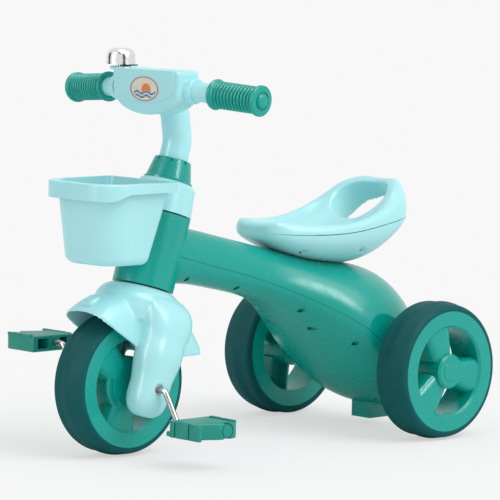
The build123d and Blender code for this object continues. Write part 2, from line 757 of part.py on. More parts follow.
def make_body():
    """Upper and lower body shells with the head between them, bushes, screws, foot and rear axle."""
    outer = body_form(0)
    head = STEERING * cylinder_z(HEAD_R, HEAD_BOTTOM, HEAD_TOP)
    foot_front = REAR_Y + 10
    foot = block(-FOOT_HALF_W, FOOT_HALF_W, foot_front, foot_front + FOOT_LEN, FOOT_CLEARANCE, 60)
    places = [(surface_x(along(share), z), along(share), z) for share, z in BODY_SCREWS]
    bosses, cuts, screws = screw_set(places)
    hollow = body_form(BODY_WALL) - head - bosses
    head_hollow = STEERING * cylinder_z(HEAD_R - HEAD_WALL, HEAD_BOTTOM + HEAD_PLATE, HEAD_TOP - HEAD_PLATE)
    bush_bore = STEERING * cylinder_z(BUSH_R, HEAD_BOTTOM - 1, HEAD_TOP + 1)
    foot_hollow = block(
        -FOOT_HALF_W + BODY_WALL,
        FOOT_HALF_W - BODY_WALL,
        foot_front + BODY_WALL,
        foot_front + FOOT_LEN - BODY_WALL,
        FOOT_CLEARANCE + BODY_WALL,
        62,
    )
    axle_bore = cylinder_x(SPACER_R, -150, 150, REAR_Y, WHEEL_R)
    shell = (outer + head + foot) - hollow - head_hollow - bush_bore - (foot_hollow - outer) - axle_bore
    shell -= foot_hollow & block(-50, 50, foot_front, foot_front + FOOT_LEN, 0, 45)
    above = over_seam()
    groove = over_seam(-SEAM_GROOVE) - above - body_form(SEAM_GROOVE)
    upper = shell & above
    lower = shell - above - (groove - head)
    save("upper_body_shell", upper)
    save("lower_body_shell", lower - cuts)
    save("body_screws", screws)
    bush = cylinder_z(BUSH_R, 0, 14) + cylinder_z(BUSH_FLANGE_R, -BUSH_FLANGE_T, 0)
    bush -= cylinder_z(BUSH_BORE, -2, 15)
    save("lower_head_bush", STEERING * Pos(0, 0, HEAD_BOTTOM) * bush)
    save("upper_head_bush", STEERING * Pos(0, 0, HEAD_TOP) * Rotation(180, 0, 0) * bush)
    return outer


def make_rear_axle():
    """Steel rear axle with its spacers and nuts."""
    tip = WHEEL_X + WHEEL_W / 2 + HUB_PROUD - HUB_CAP_T - 2
    nut_seat = tip - AXLE_NUT_T
    save("rear_axle", cylinder_x(AXLE_R, -tip, tip, REAR_Y, WHEEL_R))
    spacer_end = WHEEL_X - WHEEL_W / 2 - GAP
    spacer = cylinder_x(SPACER_R, BODY_FLAT_HALF_W - BODY_WALL - 6, spacer_end, REAR_Y, WHEEL_R)
    spacer -= cylinder_x(AXLE_R, 0, spacer_end + 1, REAR_Y, WHEEL_R)
    save("axle_spacers", both_sides(spacer))
    plane = Plane(origin=(nut_seat, REAR_Y, WHEEL_R), x_dir=(0, 1, 0), z_dir=(1, 0, 0))
    nut = extrude(plane * RegularPolygon(AXLE_NUT_R, 6), AXLE_NUT_T)
    nut -= cylinder_x(AXLE_R, 0, tip + 1, REAR_Y, WHEEL_R)
    save("axle_nuts", both_sides(nut))


# ---------------------------------------------------------------- seat


def seat_form(inset):
    """The whole seat from nose to tail: a boat-shaped hull, a rolled rim and a dished top."""
    rings = []
    first = SEAT_PLACES[0]
    length = SEAT_PLACES[-1] - first
    for place in SEAT_PLACES:
        y = first + inset + (place - first) * (length - 3 * inset) / length
        half = blend(SEAT_HALF, y)
        crest = blend(SEAT_CREST, y)
        seam = blend(SEAT_SEAM, y)
        keel = blend(SEAT_KEEL, y)
        bowl = min(blend(SEAT_BOWL, y), crest - 0.6)
        rim = min(blend(SEAT_RIM, y), half * 0.4)
        dish = crest - bowl
        side = [(0, keel)]
        for angle in (15, 30, 45, 60, 75):
            lean = math.radians(angle)
            side.append((half * math.sin(lean) ** 0.9, seam - (seam - keel) * math.cos(lean) ** 0.9))
        side.append((half, seam))
        side.append((half - rim * 0.28, seam + (crest - seam) * 0.72))
        side.append((half - rim, crest))
        side.append((half - rim * 1.9, crest - dish * 0.16 - 0.6))
        side.append(((half - rim * 2) * 0.72, bowl + dish * 0.50))
        side.append(((half - rim * 2) * 0.38, bowl + dish * 0.12))
        ring = side + [(0, bowl)] + [(-x, z) for x, z in reversed(side[1:])]
        if inset:
            ring = inset_ring(ring, inset)
        rings.append([(x, y, z) for x, z in ring])
    return skin(rings)


def handle_hole(grow):
    """Oval hand hole square to the slope of the tail, flaring towards its underside."""
    tilt = math.radians(HANDLE_TILT)
    axis = (0, math.cos(tilt), -math.sin(tilt))
    plane = Plane(origin=(0, HANDLE_Y, HANDLE_Z), x_dir=(1, 0, 0), z_dir=axis)
    ovals = []
    for depth in (-60, 0, 90):
        flare = grow + HANDLE_FLARE * max(depth, 0)
        oval = Ellipse(HANDLE_HALF_W + flare, HANDLE_SPAN / 2 + flare)
        ovals.append(plane * Pos(0, HANDLE_DRIFT * max(depth, 0), depth) * oval)
    return loft(ovals, ruled=True)


def over_seat_seam():
    """Everything above the seat's parting line."""
    places = (-40, 8, 41, 83, 142, 207, 243, 268, 330)
    points = [(y, blend(SEAT_SEAM, y)) for y in places]
    with BuildSketch(Plane.YZ) as side:
        with BuildLine():
            Spline(*points)
            Polyline(points[-1], (points[-1][0], 500), (points[0][0], 500), points[0])
        make_face()
    return extrude(side.sketch, 200, both=True)


def make_seat(body):
    """Seat shells and the screws that join them, sitting on the upper body shell."""
    places = []
    for y, z in SEAT_SCREWS:
        seam = blend(SEAT_SEAM, y)
        cosine = ((seam - z) / (seam - blend(SEAT_KEEL, y))) ** (1 / 0.9)
        places.append((blend(SEAT_HALF, y) * math.sqrt(1 - cosine**2) ** 0.9, y, z))
    bosses, cuts, screws = screw_set(places)
    hollow = seat_form(SEAT_WALL) - handle_hole(SEAT_WALL) - bosses
    shell = seat_form(0) - hollow - handle_hole(0) - body
    above = over_seat_seam()
    save("seat_top_shell", shell & above)
    save("seat_bottom_shell", shell - above - cuts)
    save("seat_screws", screws)


# ---------------------------------------------------------------- steering column
def make_column():
    """Steerer tube, basket bracket, lock collar, stem and the pin through them."""
    tube_top = COLLAR_TOP + STEM_STRAIGHT / 2
    tube = cylinder_z(STEERER_R, FORK_TOP - STEERER_IN_CROWN, tube_top)
    pin = cylinder_x(PIN_R, -STEM_R + GAP, STEM_R - GAP, 0, COLLAR_TOP - COLLAR_H / 2)
    tube -= cylinder_z(STEERER_R - STEERER_WALL, 0, tube_top + 1)
    save("steerer_tube", STEERING * (tube - pin))
    save("stem_pin", STEERING * pin)

    shoulder = BRACKET_TOP - BRACKET_SHOULDER
    slope = (HEAD_R - BRACKET_TOP_R) / BRACKET_H
    outside = [
        (0, BRACKET_BOTTOM),
        (HEAD_R, BRACKET_BOTTOM),
        (HEAD_R - slope * (BRACKET_H - BRACKET_SHOULDER), shoulder),
        (BRACKET_TOP_R - 2, BRACKET_TOP - 2),
        (BRACKET_TOP_R - BRACKET_SHOULDER, BRACKET_TOP),
        (0, BRACKET_TOP),
    ]
    inside = [
        (STEERER_R + BRACKET_WALL, BRACKET_BOTTOM + BRACKET_WALL),
        (HEAD_R - BRACKET_WALL, BRACKET_BOTTOM + BRACKET_WALL),
        (BRACKET_TOP_R - BRACKET_WALL, shoulder),
        (BRACKET_TOP_R - BRACKET_SHOULDER - BRACKET_WALL, BRACKET_TOP - BRACKET_WALL),
        (STEERER_R + BRACKET_WALL, BRACKET_TOP - BRACKET_WALL),
    ]
    hook = block(-HOOK_HALF_W, HOOK_HALF_W, -HEAD_R - BASKET_BACK_GAP, -HEAD_R + 4, HOOK_LOW, HOOK_HIGH)
    bracket = lathe(outside) - lathe(inside) + (hook - lathe(outside))
    bracket -= cylinder_z(STEERER_R, BRACKET_BOTTOM - 1, BRACKET_TOP + 1)
    save("basket_bracket", STEERING * (bracket - basket_screw_holes()))

    collar = lathe(
        [
            (STEERER_R, BRACKET_TOP),
            (COLLAR_R, BRACKET_TOP),
            (COLLAR_R, BRACKET_TOP + 2),
            (COLLAR_R - 2, BRACKET_TOP + 3.5),
            (COLLAR_TOP_R + 1, COLLAR_TOP - 1.5),
            (COLLAR_TOP_R, COLLAR_TOP),
            (STEERER_R, COLLAR_TOP),
        ]
    )
    collar -= cylinder_z(STEM_R, BRACKET_TOP + 8, COLLAR_TOP + 1)
    for i in range(COLLAR_NOTCHES):
        low = COLLAR_TOP - COLLAR_NOTCH_DEPTH
        notch = block(COLLAR_TOP_R - 2.5, COLLAR_R, -1.4, 1.4, low, COLLAR_TOP + 1)
        collar -= Rotation(0, 0, i * 360 / COLLAR_NOTCHES) * notch
    save("lock_collar", STEERING * collar)

    bar_in_stem = STEERING.inverse() * Location((0, BAR_Y, BAR_Z))
    bar_y = bar_in_stem.position.Y
    bar_z = bar_in_stem.position.Z
    foot = BRACKET_TOP + 8
    bend = COLLAR_TOP + STEM_STRAIGHT
    route = FilletPolyline(
        (0, 0, foot),
        (0, 0, bend),
        (0, -19, bend + 40),
        (0, bar_y, bar_z),
        radius=[45, STEM_BEND_R],
    )
    solid = sweep(Plane(origin=(0, 0, foot)) * Circle(STEM_R), path=route)
    bore = sweep(Plane(origin=(0, 0, foot)) * Circle(STEERER_R), path=route)
    stem = STEERING * (solid - bore - pin)
    save("handlebar_stem", stem - bar_form(BAR_R, BAR_HALF))


def basket_screw_holes():
    """The two holes through the basket's back and the bracket's hook."""
    holes = [basket_screw(x, 10, 9, 2) for x in (HOOK_SCREW_X, -HOOK_SCREW_X)]
    return holes[0] + holes[1]


def basket_screw(x, ahead, behind, radius):
    """A rod across the basket's back, from ahead of the hook's face to behind it."""
    face = -HEAD_R - BASKET_BACK_GAP
    return Pos(x, face + (behind - ahead) / 2, (HOOK_LOW + HOOK_HIGH) / 2) * Cylinder(
        radius, ahead + behind, rotation=(90, 0, 0)
    )


# ---------------------------------------------------------------- basket
def basket_layer(z, grow, raise_back=0.0):
    """Rounded outline of the basket at one height, its back parallel to the head axis."""
    share = (z - BASKET_FLOOR) / (BASKET_TOP - BASKET_FLOOR)
    half = BASKET_HALF_W - BASKET_LIP - BASKET_TAPER * (1 - share) + grow
    front = -BASKET_FRONT + BASKET_LIP + BASKET_TAPER * (1 - share) - grow
    back = back_wall_y(z) + raise_back + min(grow, 0)
    corner = BASKET_CORNER
    plane = Plane(origin=(0, 0, z))
    outline = Pos(0, (front + back) / 2) * Rectangle(2 * half, back - front)
    corners = outline.vertices().group_by(Axis.Y)
    outline = fillet(corners[0], corner)
    outline = fillet(outline.vertices().group_by(Axis.Y)[-1], 10 + min(grow, 0))
    return plane * outline


def back_wall_y(z):
    """Y of the basket's back wall, a fixed gap ahead of the head."""
    ahead = (HEAD_R + BASKET_BACK_GAP) / COS_RAKE
    return FRONT_AXLE[1] + (z - WHEEL_R) * SIN_RAKE / COS_RAKE - ahead


def make_basket():
    """Tapered basket with a rolled lip, deeper across its front, and its two screws."""
    top = BASKET_TOP
    tub = loft([basket_layer(BASKET_FLOOR, 0), basket_layer(top, 0)])
    tub = fillet(tub.edges().group_by(Axis.Z)[0], BASKET_HEEL)
    floor = basket_layer(BASKET_FLOOR + BASKET_WALL, -BASKET_WALL)
    room = loft([floor, basket_layer(top + 1, -BASKET_WALL)])
    room = fillet(room.edges().group_by(Axis.Z)[0], BASKET_HEEL - BASKET_WALL)
    lip_low = top - BASKET_FRONT_SKIRT
    lip = extrude(Pos(0, 0, lip_low - top) * basket_layer(top, BASKET_LIP, 6), BASKET_FRONT_SKIRT)
    lip = fillet(lip.edges().group_by(Axis.Z)[-1], 2)
    under_lip = Pos(0, 0, -BASKET_FRONT_SKIRT - 1) * basket_layer(top, BASKET_LIP - BASKET_WALL, 4)
    inner = extrude(under_lip, BASKET_FRONT_SKIRT - 1.5)
    front = -BASKET_FRONT
    skirt = top - BASKET_SKIRT
    with BuildSketch(Plane.YZ) as wave:
        with BuildLine():
            Line((front - 20, lip_low - 20), (front - 20, lip_low))
            Line((front - 20, lip_low), (front + 12, lip_low))
            Spline((front + 12, lip_low), (front + 46, skirt), tangents=[(1, 0), (1, 0)])
            Line((front + 46, skirt), (-100, skirt))
            Polyline((-100, skirt), (-100, lip_low - 20), (front - 20, lip_low - 20))
        make_face()
    lip = lip - inner - extrude(wave.sketch, 200, both=True)
    ring_room = STEERING * cylinder_z(HEAD_R + 1.5, HEAD_TOP - 20, BRACKET_TOP + 40)
    basket = (tub + (lip - ring_room)) - room
    holes = STEERING * basket_screw_holes()
    save("basket", basket - holes)
    pins = []
    for x in (HOOK_SCREW_X, -HOOK_SCREW_X):
        inside = BASKET_WALL * COS_RAKE
        shank = basket_screw(x, inside, 8, 2)
        head = basket_screw(x, inside + 2.2, -inside, 4)
        pins.append(STEERING * (shank + head))
    save("basket_screws", Compound(children=[s for pin in pins for s in pin.solids()]))


# ---------------------------------------------------------------- handlebar, cover, grips
def bar_point(x):
    """Middle of the handlebar tube at a distance from the middle plane."""
    along_bar = abs(x)
    back = along_bar * math.tan(math.radians(BAR_SWEEP))
    down = along_bar * math.tan(math.radians(BAR_DROOP)) / 2
    return (x, BAR_Y + back, BAR_Z - down)


def bar_form(radius, half):
    """The bent bar as a solid rod."""
    bend = 30
    route = FilletPolyline(bar_point(-half), bar_point(-bend), bar_point(bend), bar_point(half), radius=150)
    start = Vector(*bar_point(-half))
    step = Vector(*bar_point(-bend)) - start
    return sweep(Plane(origin=start, x_dir=(0, 1, 0), z_dir=step) * Circle(radius), path=route)


def on_bar(x, side=1):
    """Location on the bar with +Z pointing outwards along it."""
    here = Vector(*bar_point(x))
    out = Vector(*bar_point(x + side)) - here
    return Plane(origin=here, x_dir=(0, 0, 1), z_dir=out).location


def make_handlebar():
    """Bar tube, ribbed grips, clamp cover with its badge and screws."""
    save("handlebar", bar_form(BAR_R, BAR_HALF) - bar_form(BAR_R - BAR_WALL, BAR_HALF + 5))
    length = (Vector(*bar_point(BAR_HALF)) - Vector(*bar_point(GRIP_START))).length
    pitch = (length - 2 * GRIP_FLANGE_T - 6) / GRIP_RIBS
    outline = [(BAR_R, 0), (GRIP_FLANGE_R - 1, 0), (GRIP_FLANGE_R, 1)]
    outline += [(GRIP_FLANGE_R, GRIP_FLANGE_T), (GRIP_R, GRIP_FLANGE_T)]
    for i in range(GRIP_RIBS):
        low = GRIP_FLANGE_T + 3 + i * pitch
        outline.append((GRIP_R - GRIP_RIB, low))
        outline += [(GRIP_R + 0.4, low + pitch * 0.3), (GRIP_R + 0.4, low + pitch * 0.6)]
    outline += [
        (GRIP_R - GRIP_RIB, length - GRIP_FLANGE_T - 2),
        (GRIP_FLANGE_R, length - GRIP_FLANGE_T),
        (GRIP_FLANGE_R, length),
        (GRIP_FLANGE_R - 2, length + 1.5),
        (8, length + 2),
        (6, length + GRIP_CAP),
        (0, length + GRIP_CAP),
        (0, length),
        (BAR_R, length),
    ]
    grip = lathe(outline)
    save("left_grip", on_bar(GRIP_START) * grip)
    save("right_grip", on_bar(-GRIP_START, -1) * grip)

    solid = cover_shield(0, COVER_FRONT - COVER_STEP, COVER_BACK)
    solid = fillet(solid.edges().filter_by(Axis.Y), 6)
    solid = fillet(solid.edges().group_by(Axis.Y)[0], 3)
    panel = Pos(0, 0, COVER_BORDER) * cover_shield(-COVER_BORDER, COVER_FRONT, 1)
    solid += fillet(panel.edges().group_by(Axis.Y)[0], 1.5)
    solid -= cover_shield(-COVER_WALL, COVER_FRONT - COVER_STEP - COVER_WALL, COVER_BACK - COVER_WALL)
    for side in (1, -1):
        collar = cylinder_z(COVER_COLLAR_R, 0, COVER_COLLAR_L + COVER_WALL)
        collar = fillet(collar.edges().group_by(Axis.Z)[-1], 2)
        solid += on_bar(side * (COVER_HALF_W - COVER_WALL), side) * collar
    bar_room = bar_form(BAR_R, BAR_HALF)
    shell = solid - bar_room - STEERING * stem_room()
    rear_side = block(-200, 200, BAR_Y + COVER_SPLIT, BAR_Y + 60, BAR_Z - 80, BAR_Z + 80)
    face = Plane(origin=(0, BAR_Y - COVER_FRONT, BAR_Z - 4), x_dir=(1, 0, 0), z_dir=(0, -1, 0))
    badge = face * Ellipse(BADGE_W / 2, BADGE_H / 2)
    badge_seat = extrude(badge, -BADGE_T / 2)
    save("badge", badge_seat + extrude(badge, BADGE_T / 2))
    front = shell - rear_side - badge_seat
    rear = shell & rear_side
    pins = []
    for side in (1, -1):
        at = Pos(side * COVER_LUG_X, BAR_Y, BAR_Z - COVER_LUG_DROP)
        lug = at * along_y(COVER_LUG_R, -6, COVER_BACK - 3)
        hole = at * along_y(1.5, -4, COVER_BACK)
        recess = at * along_y(3.2, COVER_BACK - 6, COVER_BACK)
        front = front + (lug - rear_side - bar_room) - hole
        rear = rear + ((lug & rear_side) - bar_room) - hole - recess
        pins.append(at * (along_y(1.5, -4, COVER_BACK - 6) + along_y(2.9, COVER_BACK - 6, COVER_BACK - 4)))
    save("cover_front", front)
    save("cover_rear", rear)
    save("cover_screws", Compound(children=[s for pin in pins for s in pin.solids()]))


def along_y(radius, y0, y1):
    """A cylinder along Y between two depths."""
    return Pos(0, (y0 + y1) / 2, 0) * Cylinder(radius, y1 - y0, rotation=(90, 0, 0))


def cover_shield(grow, front, back):
    """The cover's shield outline, reaching ahead of the bar's middle and behind it."""
    top = BAR_Z + COVER_TOP + grow
    shoulder = BAR_Z - COVER_SHOULDER
    half = COVER_HALF_W + grow
    low = BAR_Z - COVER_DROP - grow
    with BuildSketch(Plane.XZ.offset(-BAR_Y)) as face:
        with BuildLine():
            Polyline((-half, shoulder), (-half, top), (half, top), (half, shoulder))
            EllipticalCenterArc((0, shoulder), half, shoulder - low, start_angle=180, arc_size=180)
        make_face()
    return extrude(face.sketch, front) + extrude(face.sketch, -back)


def stem_room():
    """Room for the stem where it enters the cover, in the frame of the head axis."""
    bar_in_stem = STEERING.inverse() * Location((0, BAR_Y, BAR_Z))
    bend = COLLAR_TOP + STEM_STRAIGHT
    route = FilletPolyline(
        (0, 0, bend - 5),
        (0, 0, bend),
        (0, -19, bend + 40),
        (0, bar_in_stem.position.Y, bar_in_stem.position.Z),
        radius=[4, STEM_BEND_R],
    )
    return sweep(Plane(origin=(0, 0, bend - 5)) * Circle(STEM_R), path=route)


# ---------------------------------------------------------------- bell
def make_bell():
    """Clamp, base, post, dome, nut and the sprung thumb lever of the bell."""
    x, y, z = bar_point(BELL_X)
    place = Pos(x, y, 0)
    clamp = on_bar(BELL_X, -1) * Pos(0, 0, -BELL_CLAMP_L / 2) * cylinder_z(BELL_CLAMP_R, 0, BELL_CLAMP_L)
    neck = place * block(-BELL_CLAMP_L / 2 + GAP, BELL_CLAMP_L / 2 - GAP, -9, 9, z, BELL_BASE_Z)
    ears = place * block(-4, 4, BELL_CLAMP_R - 6, BELL_CLAMP_R + 8, z - 5, z + 5)
    bar_room = bar_form(BAR_R, BAR_HALF)
    ear_bolt = place * Pos(0, BELL_CLAMP_R + 3, z) * Cylinder(1.8, 12, rotation=(0, 90, 0))
    save("bell_clamp", (clamp + neck + ears) - bar_room - ear_bolt)
    save("bell_clamp_screw", ear_bolt)
    base = cylinder_z(BELL_BASE_R, 0, BELL_BASE_T)
    base = fillet(base.edges().group_by(Axis.Z)[0], 1.5)
    turn = math.radians(BELL_LEVER_TURN)
    way = (math.sin(turn), math.cos(turn))
    pivot = (way[0] * (BELL_BASE_R - 7), way[1] * (BELL_BASE_R - 7))
    pivot_hole = cylinder_z(BELL_LEVER_R + PLAY, -1, BELL_BASE_T + 1, *pivot)
    base -= cylinder_z(BELL_POST_R, -1, BELL_BASE_T + 1)
    base_at = place * Pos(0, 0, BELL_BASE_Z)
    save("bell_base", base_at * (base - pivot_hole))
    dome_foot = BELL_BASE_T + BELL_LEVER_ROOM
    peak = dome_foot + BELL_H
    outer = [
        (0, peak),
        (BELL_R * 0.45, peak - 0.7),
        (BELL_R * 0.75, peak - 2.8),
        (BELL_R * 0.93, peak - 7.5),
        (BELL_R * 0.985, peak - 13),
        (BELL_R, dome_foot),
    ]
    inner = [(max(r - BELL_WALL, 0), h - BELL_WALL if h > dome_foot else h) for r, h in outer]
    with BuildSketch(Plane.XZ) as profile:
        with BuildLine():
            Spline(*outer)
            Line(outer[-1], inner[-1])
            Spline(*reversed(inner))
            Line(inner[0], outer[0])
        make_face()
    dome = revolve(profile.sketch, Axis.Z)
    save("bell_dome", base_at * dome)
    ceiling = peak - BELL_WALL
    post = cylinder_z(BELL_POST_R, 0, ceiling - 4) + cylinder_z(BELL_POST_R + 1.5, BELL_BASE_T, ceiling - 6)
    save("bell_post", base_at * post)
    nut = cylinder_z(BELL_POST_R + 1.5, ceiling - 6, ceiling - 0.5) - cylinder_z(BELL_POST_R, 0, ceiling - 4)
    save("bell_dome_nut", base_at * nut)
    knob = (way[0] * BELL_LEVER_REACH, way[1] * BELL_LEVER_REACH)
    ends = Pos(*pivot) * Circle(3.5) + Pos(*knob) * Circle(3)
    arm_low = BELL_BASE_T + GAP
    arm_high = dome_foot - GAP
    arm = Pos(0, 0, arm_low) * extrude(make_hull(ends.edges()), arm_high - arm_low)
    save("bell_lever", base_at * (arm + cylinder_z(BELL_LEVER_R, GAP, arm_high, *pivot)))


# ---------------------------------------------------------------- run
body = make_body()
make_rear_axle()
make_seat(body)
make_wheels()
make_crank()
make_pedals()
make_fork()
make_column()
make_basket()
make_handlebar()
make_bell()
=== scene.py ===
"""Finishes, soft-edged mouldings, pedals, grips, screws, label and stage of a children's tricycle."""

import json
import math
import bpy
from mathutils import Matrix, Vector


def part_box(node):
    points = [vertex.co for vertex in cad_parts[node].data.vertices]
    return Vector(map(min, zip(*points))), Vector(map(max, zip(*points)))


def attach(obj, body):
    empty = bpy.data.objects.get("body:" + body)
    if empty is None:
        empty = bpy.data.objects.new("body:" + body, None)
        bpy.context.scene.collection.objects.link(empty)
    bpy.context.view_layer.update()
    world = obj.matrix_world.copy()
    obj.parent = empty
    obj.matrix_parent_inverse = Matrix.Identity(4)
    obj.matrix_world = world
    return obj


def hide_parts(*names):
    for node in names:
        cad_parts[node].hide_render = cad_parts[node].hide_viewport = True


bl_info = {
    "name": "Children's Tricycle",
    "version": (1, 0, 0),
    "blender": (4, 5, 0),
    "location": "View3D > Sidebar > Tricycle",
    "description": "Finishes and detailed pieces of a children's tricycle, set on its packed model",
    "category": "Add Mesh",
}

import bmesh
import bpy
from mathutils import Matrix, Vector

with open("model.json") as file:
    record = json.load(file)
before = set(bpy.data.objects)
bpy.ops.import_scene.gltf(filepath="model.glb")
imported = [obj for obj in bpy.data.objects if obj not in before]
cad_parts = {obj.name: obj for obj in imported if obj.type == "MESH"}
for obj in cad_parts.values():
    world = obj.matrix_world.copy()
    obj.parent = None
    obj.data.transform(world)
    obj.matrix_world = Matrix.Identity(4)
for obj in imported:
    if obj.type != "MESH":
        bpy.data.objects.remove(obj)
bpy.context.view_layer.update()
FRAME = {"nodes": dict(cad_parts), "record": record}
NODES = FRAME["nodes"]
SLOT_OF = {part["node"]: part["material_slot"] for part in FRAME["record"]["subparts"]}
MM = 0.001  # metres in a millimetre
WELD = 2e-6  # vertices closer than this, in metres, are the same one


# ---------------------------------------------------------------- settings
def colour(name, description, *rgb):
    """A colour property, its default given in linear light."""
    return bpy.props.FloatVectorProperty(
        name=name, description=description, subtype="COLOR", size=3, min=0, max=1, default=rgb
    )


def length(name, description, metres):
    """A length property, its default given in metres."""
    return bpy.props.FloatProperty(name=name, description=description, unit="LENGTH", default=metres)


def count(name, description, number):
    """A property that counts something."""
    return bpy.props.IntProperty(name=name, description=description, default=number, min=1)


def angle(name, description, degrees):
    """An angle property, its default given in degrees."""
    return bpy.props.FloatProperty(
        name=name, description=description, subtype="ANGLE", default=math.radians(degrees)
    )


def strength(name, description, number):
    """A property for how strong a light is."""
    return bpy.props.FloatProperty(name=name, description=description, default=number, min=0)


class TricycleColours(bpy.types.PropertyGroup):
    """Colours of the finishes."""

    mint: colour("Mint plastic", "Seat, fork, basket and handlebar", 0.43, 0.84, 0.88)
    teal: colour("Teal plastic", "Body, rims, grips, collar and bell lever", 0.0, 0.36, 0.30)
    pedal: colour("Pedal plastic", "Pedals", 0.0, 0.28, 0.22)
    tyre: colour("Tyre foam", "Tread and shoulders of the tyres", 0.003, 0.098, 0.103)
    bearing: colour("Bearing plastic", "Bushes and spacers", 0.55, 0.60, 0.60)
    steel: colour("Plated steel", "Crank, axle and column", 0.36, 0.36, 0.355)
    screw: colour("Screw steel", "Screws and nuts", 0.16, 0.20, 0.20)
    chrome: colour("Polished steel", "Bell dome", 0.78, 0.79, 0.80)
    cream: colour("Label ground", "Ground of the label on the cover", 0.80, 0.72, 0.58)
    blue: colour("Label blue", "Waves and border of the label", 0.05, 0.22, 0.42)
    orange: colour("Label orange", "Sun of the label", 0.80, 0.22, 0.04)
    backdrop: colour("Backdrop", "Background behind the tricycle", 0.93, 0.93, 0.93)


class TricycleSizes(bpy.types.PropertyGroup):
    """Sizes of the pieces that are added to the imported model."""

    fork_voxel: length("Fork grain", "Grid on which the fork's edges are softened", 0.0016)
    fork_rounds: count("Fork softening", "Rounds of relaxing the fork", 10)
    seat_voxel: length("Seat grain", "Grid on which the seat's edges are softened", 0.0019)
    seat_rounds: count("Seat softening", "Rounds of relaxing the seat", 14)
    grip_ribs: count("Grip ribs", "Ribs on each grip", 11)
    sleeve_r: length("Sleeve radius", "Radius of a grip between its ribs", 0.0162)
    flange_r: length("Flange radius", "Radius of a grip's inner and outer flanges", 0.0204)
    collar: length("Grip collar", "Smooth length between the inner flange and the ribs", 0.0095)
    seam: length("Seam gap", "Width of the groove between the seat shells", 0.0011)
    seam_depth: length("Seam depth", "Depth of the groove between the seat shells", 0.0035)
    recess: length("Screw recess", "Width of a cross recess's arm", 0.0011)
    screw_hole: length("Screw hole", "Radius of the holes that the seat's screws are sunk in", 0.0034)
    wing_rise: length("Wing rise", "How far the fender's tail is lifted at its tip", 0.007)
    wing_root: length("Wing root", "Where the fender's tail starts to rise, behind the front axle", 0.05)
    wing_tip: length("Wing tip", "How far the fender's tail reaches behind the front axle", 0.095)


class TricycleStage(bpy.types.PropertyGroup):
    """Camera and light."""

    lens: bpy.props.FloatProperty(name="Lens", description="Focal length in mm", default=252, min=1)
    place: bpy.props.FloatVectorProperty(
        name="Camera", description="Place of the camera", subtype="TRANSLATION", unit="LENGTH",
        default=(3.4394, -3.2723, 0.7273),
    )
    azimuth: angle("Azimuth", "Turn of the view about the upright axis", 46.33)
    elevation: angle("Elevation", "Height of the camera above the horizon", 5.62)
    roll: angle("Roll", "Turn of the camera about its own line of sight", 1.06)
    daylight: strength("Daylight", "Strength of the even light", 0.72)
    sun: strength("Sun", "Strength of the soft overhead light", 1.25)


# ---------------------------------------------------------------- finishes
SHADE = 0.86  # lightness of a finish where it is darkest, as a share of its colour
NOISE_RANGE = (0.3, 0.7)  # where nearly all of the noise lies

# Grain of the finishes, in marks to a metre.
FLOW_MARKS = 9
GLOSS_PATCHES = 55
SKIN_RIPPLES = 420
FOAM_MOTTLE = 60
FOAM_PATCHES = 300
FOAM_PORES = 1500.0
METAL_CLOUDS = 40
DRAWN_LINES = (30, 900, 900)
LABEL_WEAR = 150
LABEL_PAPER = 700

# The label's drawing, in shares of its half width and half height.
SUN_DISC = (0.12, -0.1, 0.3, 0.52)  # middle across and up, half width, half height
SEA_DISC = (0, 0, 0.76, 0.80)
LABEL_DISC = (0, 0, 1, 1)
WORN = 0.9  # lightness of the ground where it is worn, as a share of its colour
HORIZON = -0.18
WAVES = (-0.28, -0.56)  # heights of the two waves
WAVE_HALF = 0.075  # half of a wave's thickness
SWELL_PACE = 10.0
SWELL_RISE = 0.09
RIM = (0.86, 0.93)  # where the rim starts and ends, 1 at the label's edge


def add(tree, kind, links=None, **sockets):
    """A node with its sockets set by name; links maps a socket's name to the output that feeds it."""
    node = tree.nodes.new(kind)
    for name, value in sockets.items():
        label = name.replace("_", " ")
        if hasattr(node, name) and label not in node.inputs:
            setattr(node, name, value)
        else:
            node.inputs[label].default_value = value
    for name, output in (links or {}).items():
        tree.links.new(output, node.inputs[name])
    return node


def maths(tree, operation, a, b=None):
    """Output of a math node on sockets or numbers."""
    node = tree.nodes.new("ShaderNodeMath")
    node.operation = operation
    for slot, value in zip(node.inputs, (a, b)):
        if isinstance(value, bpy.types.NodeSocket):
            tree.links.new(value, slot)
        elif value is not None:
            slot.default_value = value
    return node.outputs[0]


def finish(name, **sockets):
    """A new material; returns it with its tree, its shader and the object coordinates."""
    material = bpy.data.materials.new(name)
    material.use_nodes = True
    tree = material.node_tree
    shader = tree.nodes["Principled BSDF"]
    for socket, value in sockets.items():
        shader.inputs[socket.replace("_", " ")].default_value = value
    place = tree.nodes.new("ShaderNodeTexCoord").outputs["Object"]
    return material, tree, shader, place


def speckle(tree, place, scale, low, high, detail=3.0):
    """Noise mapped to the range low..high."""
    noise = add(tree, "ShaderNodeTexNoise", {"Vector": place}, Scale=scale, Detail=detail)
    ramp = add(tree, "ShaderNodeMapRange", {"Value": noise.outputs["Fac"]})
    for socket, value in zip(("From Min", "From Max", "To Min", "To Max"), (*NOISE_RANGE, low, high)):
        ramp.inputs[socket].default_value = value
    return ramp.outputs["Result"]


def blend(tree, under, over, share):
    """Output of a colour mix from the first colour, or colour socket, to the second."""
    mix = tree.nodes.new("ShaderNodeMix")
    mix.data_type = "RGBA"
    tree.links.new(share, mix.inputs["Factor"])
    for slot, value in (("A", under), ("B", over)):
        if isinstance(value, bpy.types.NodeSocket):
            tree.links.new(value, mix.inputs[slot])
        else:
            mix.inputs[slot].default_value = (*value, 1)
    return mix.outputs["Result"]


def tint(tree, shader, rgb, amount):
    """Feeds the shader a colour that varies in lightness by the 0..1 amount."""
    deep = [channel * SHADE for channel in rgb]
    tree.links.new(blend(tree, deep, rgb, amount), shader.inputs["Base Color"])


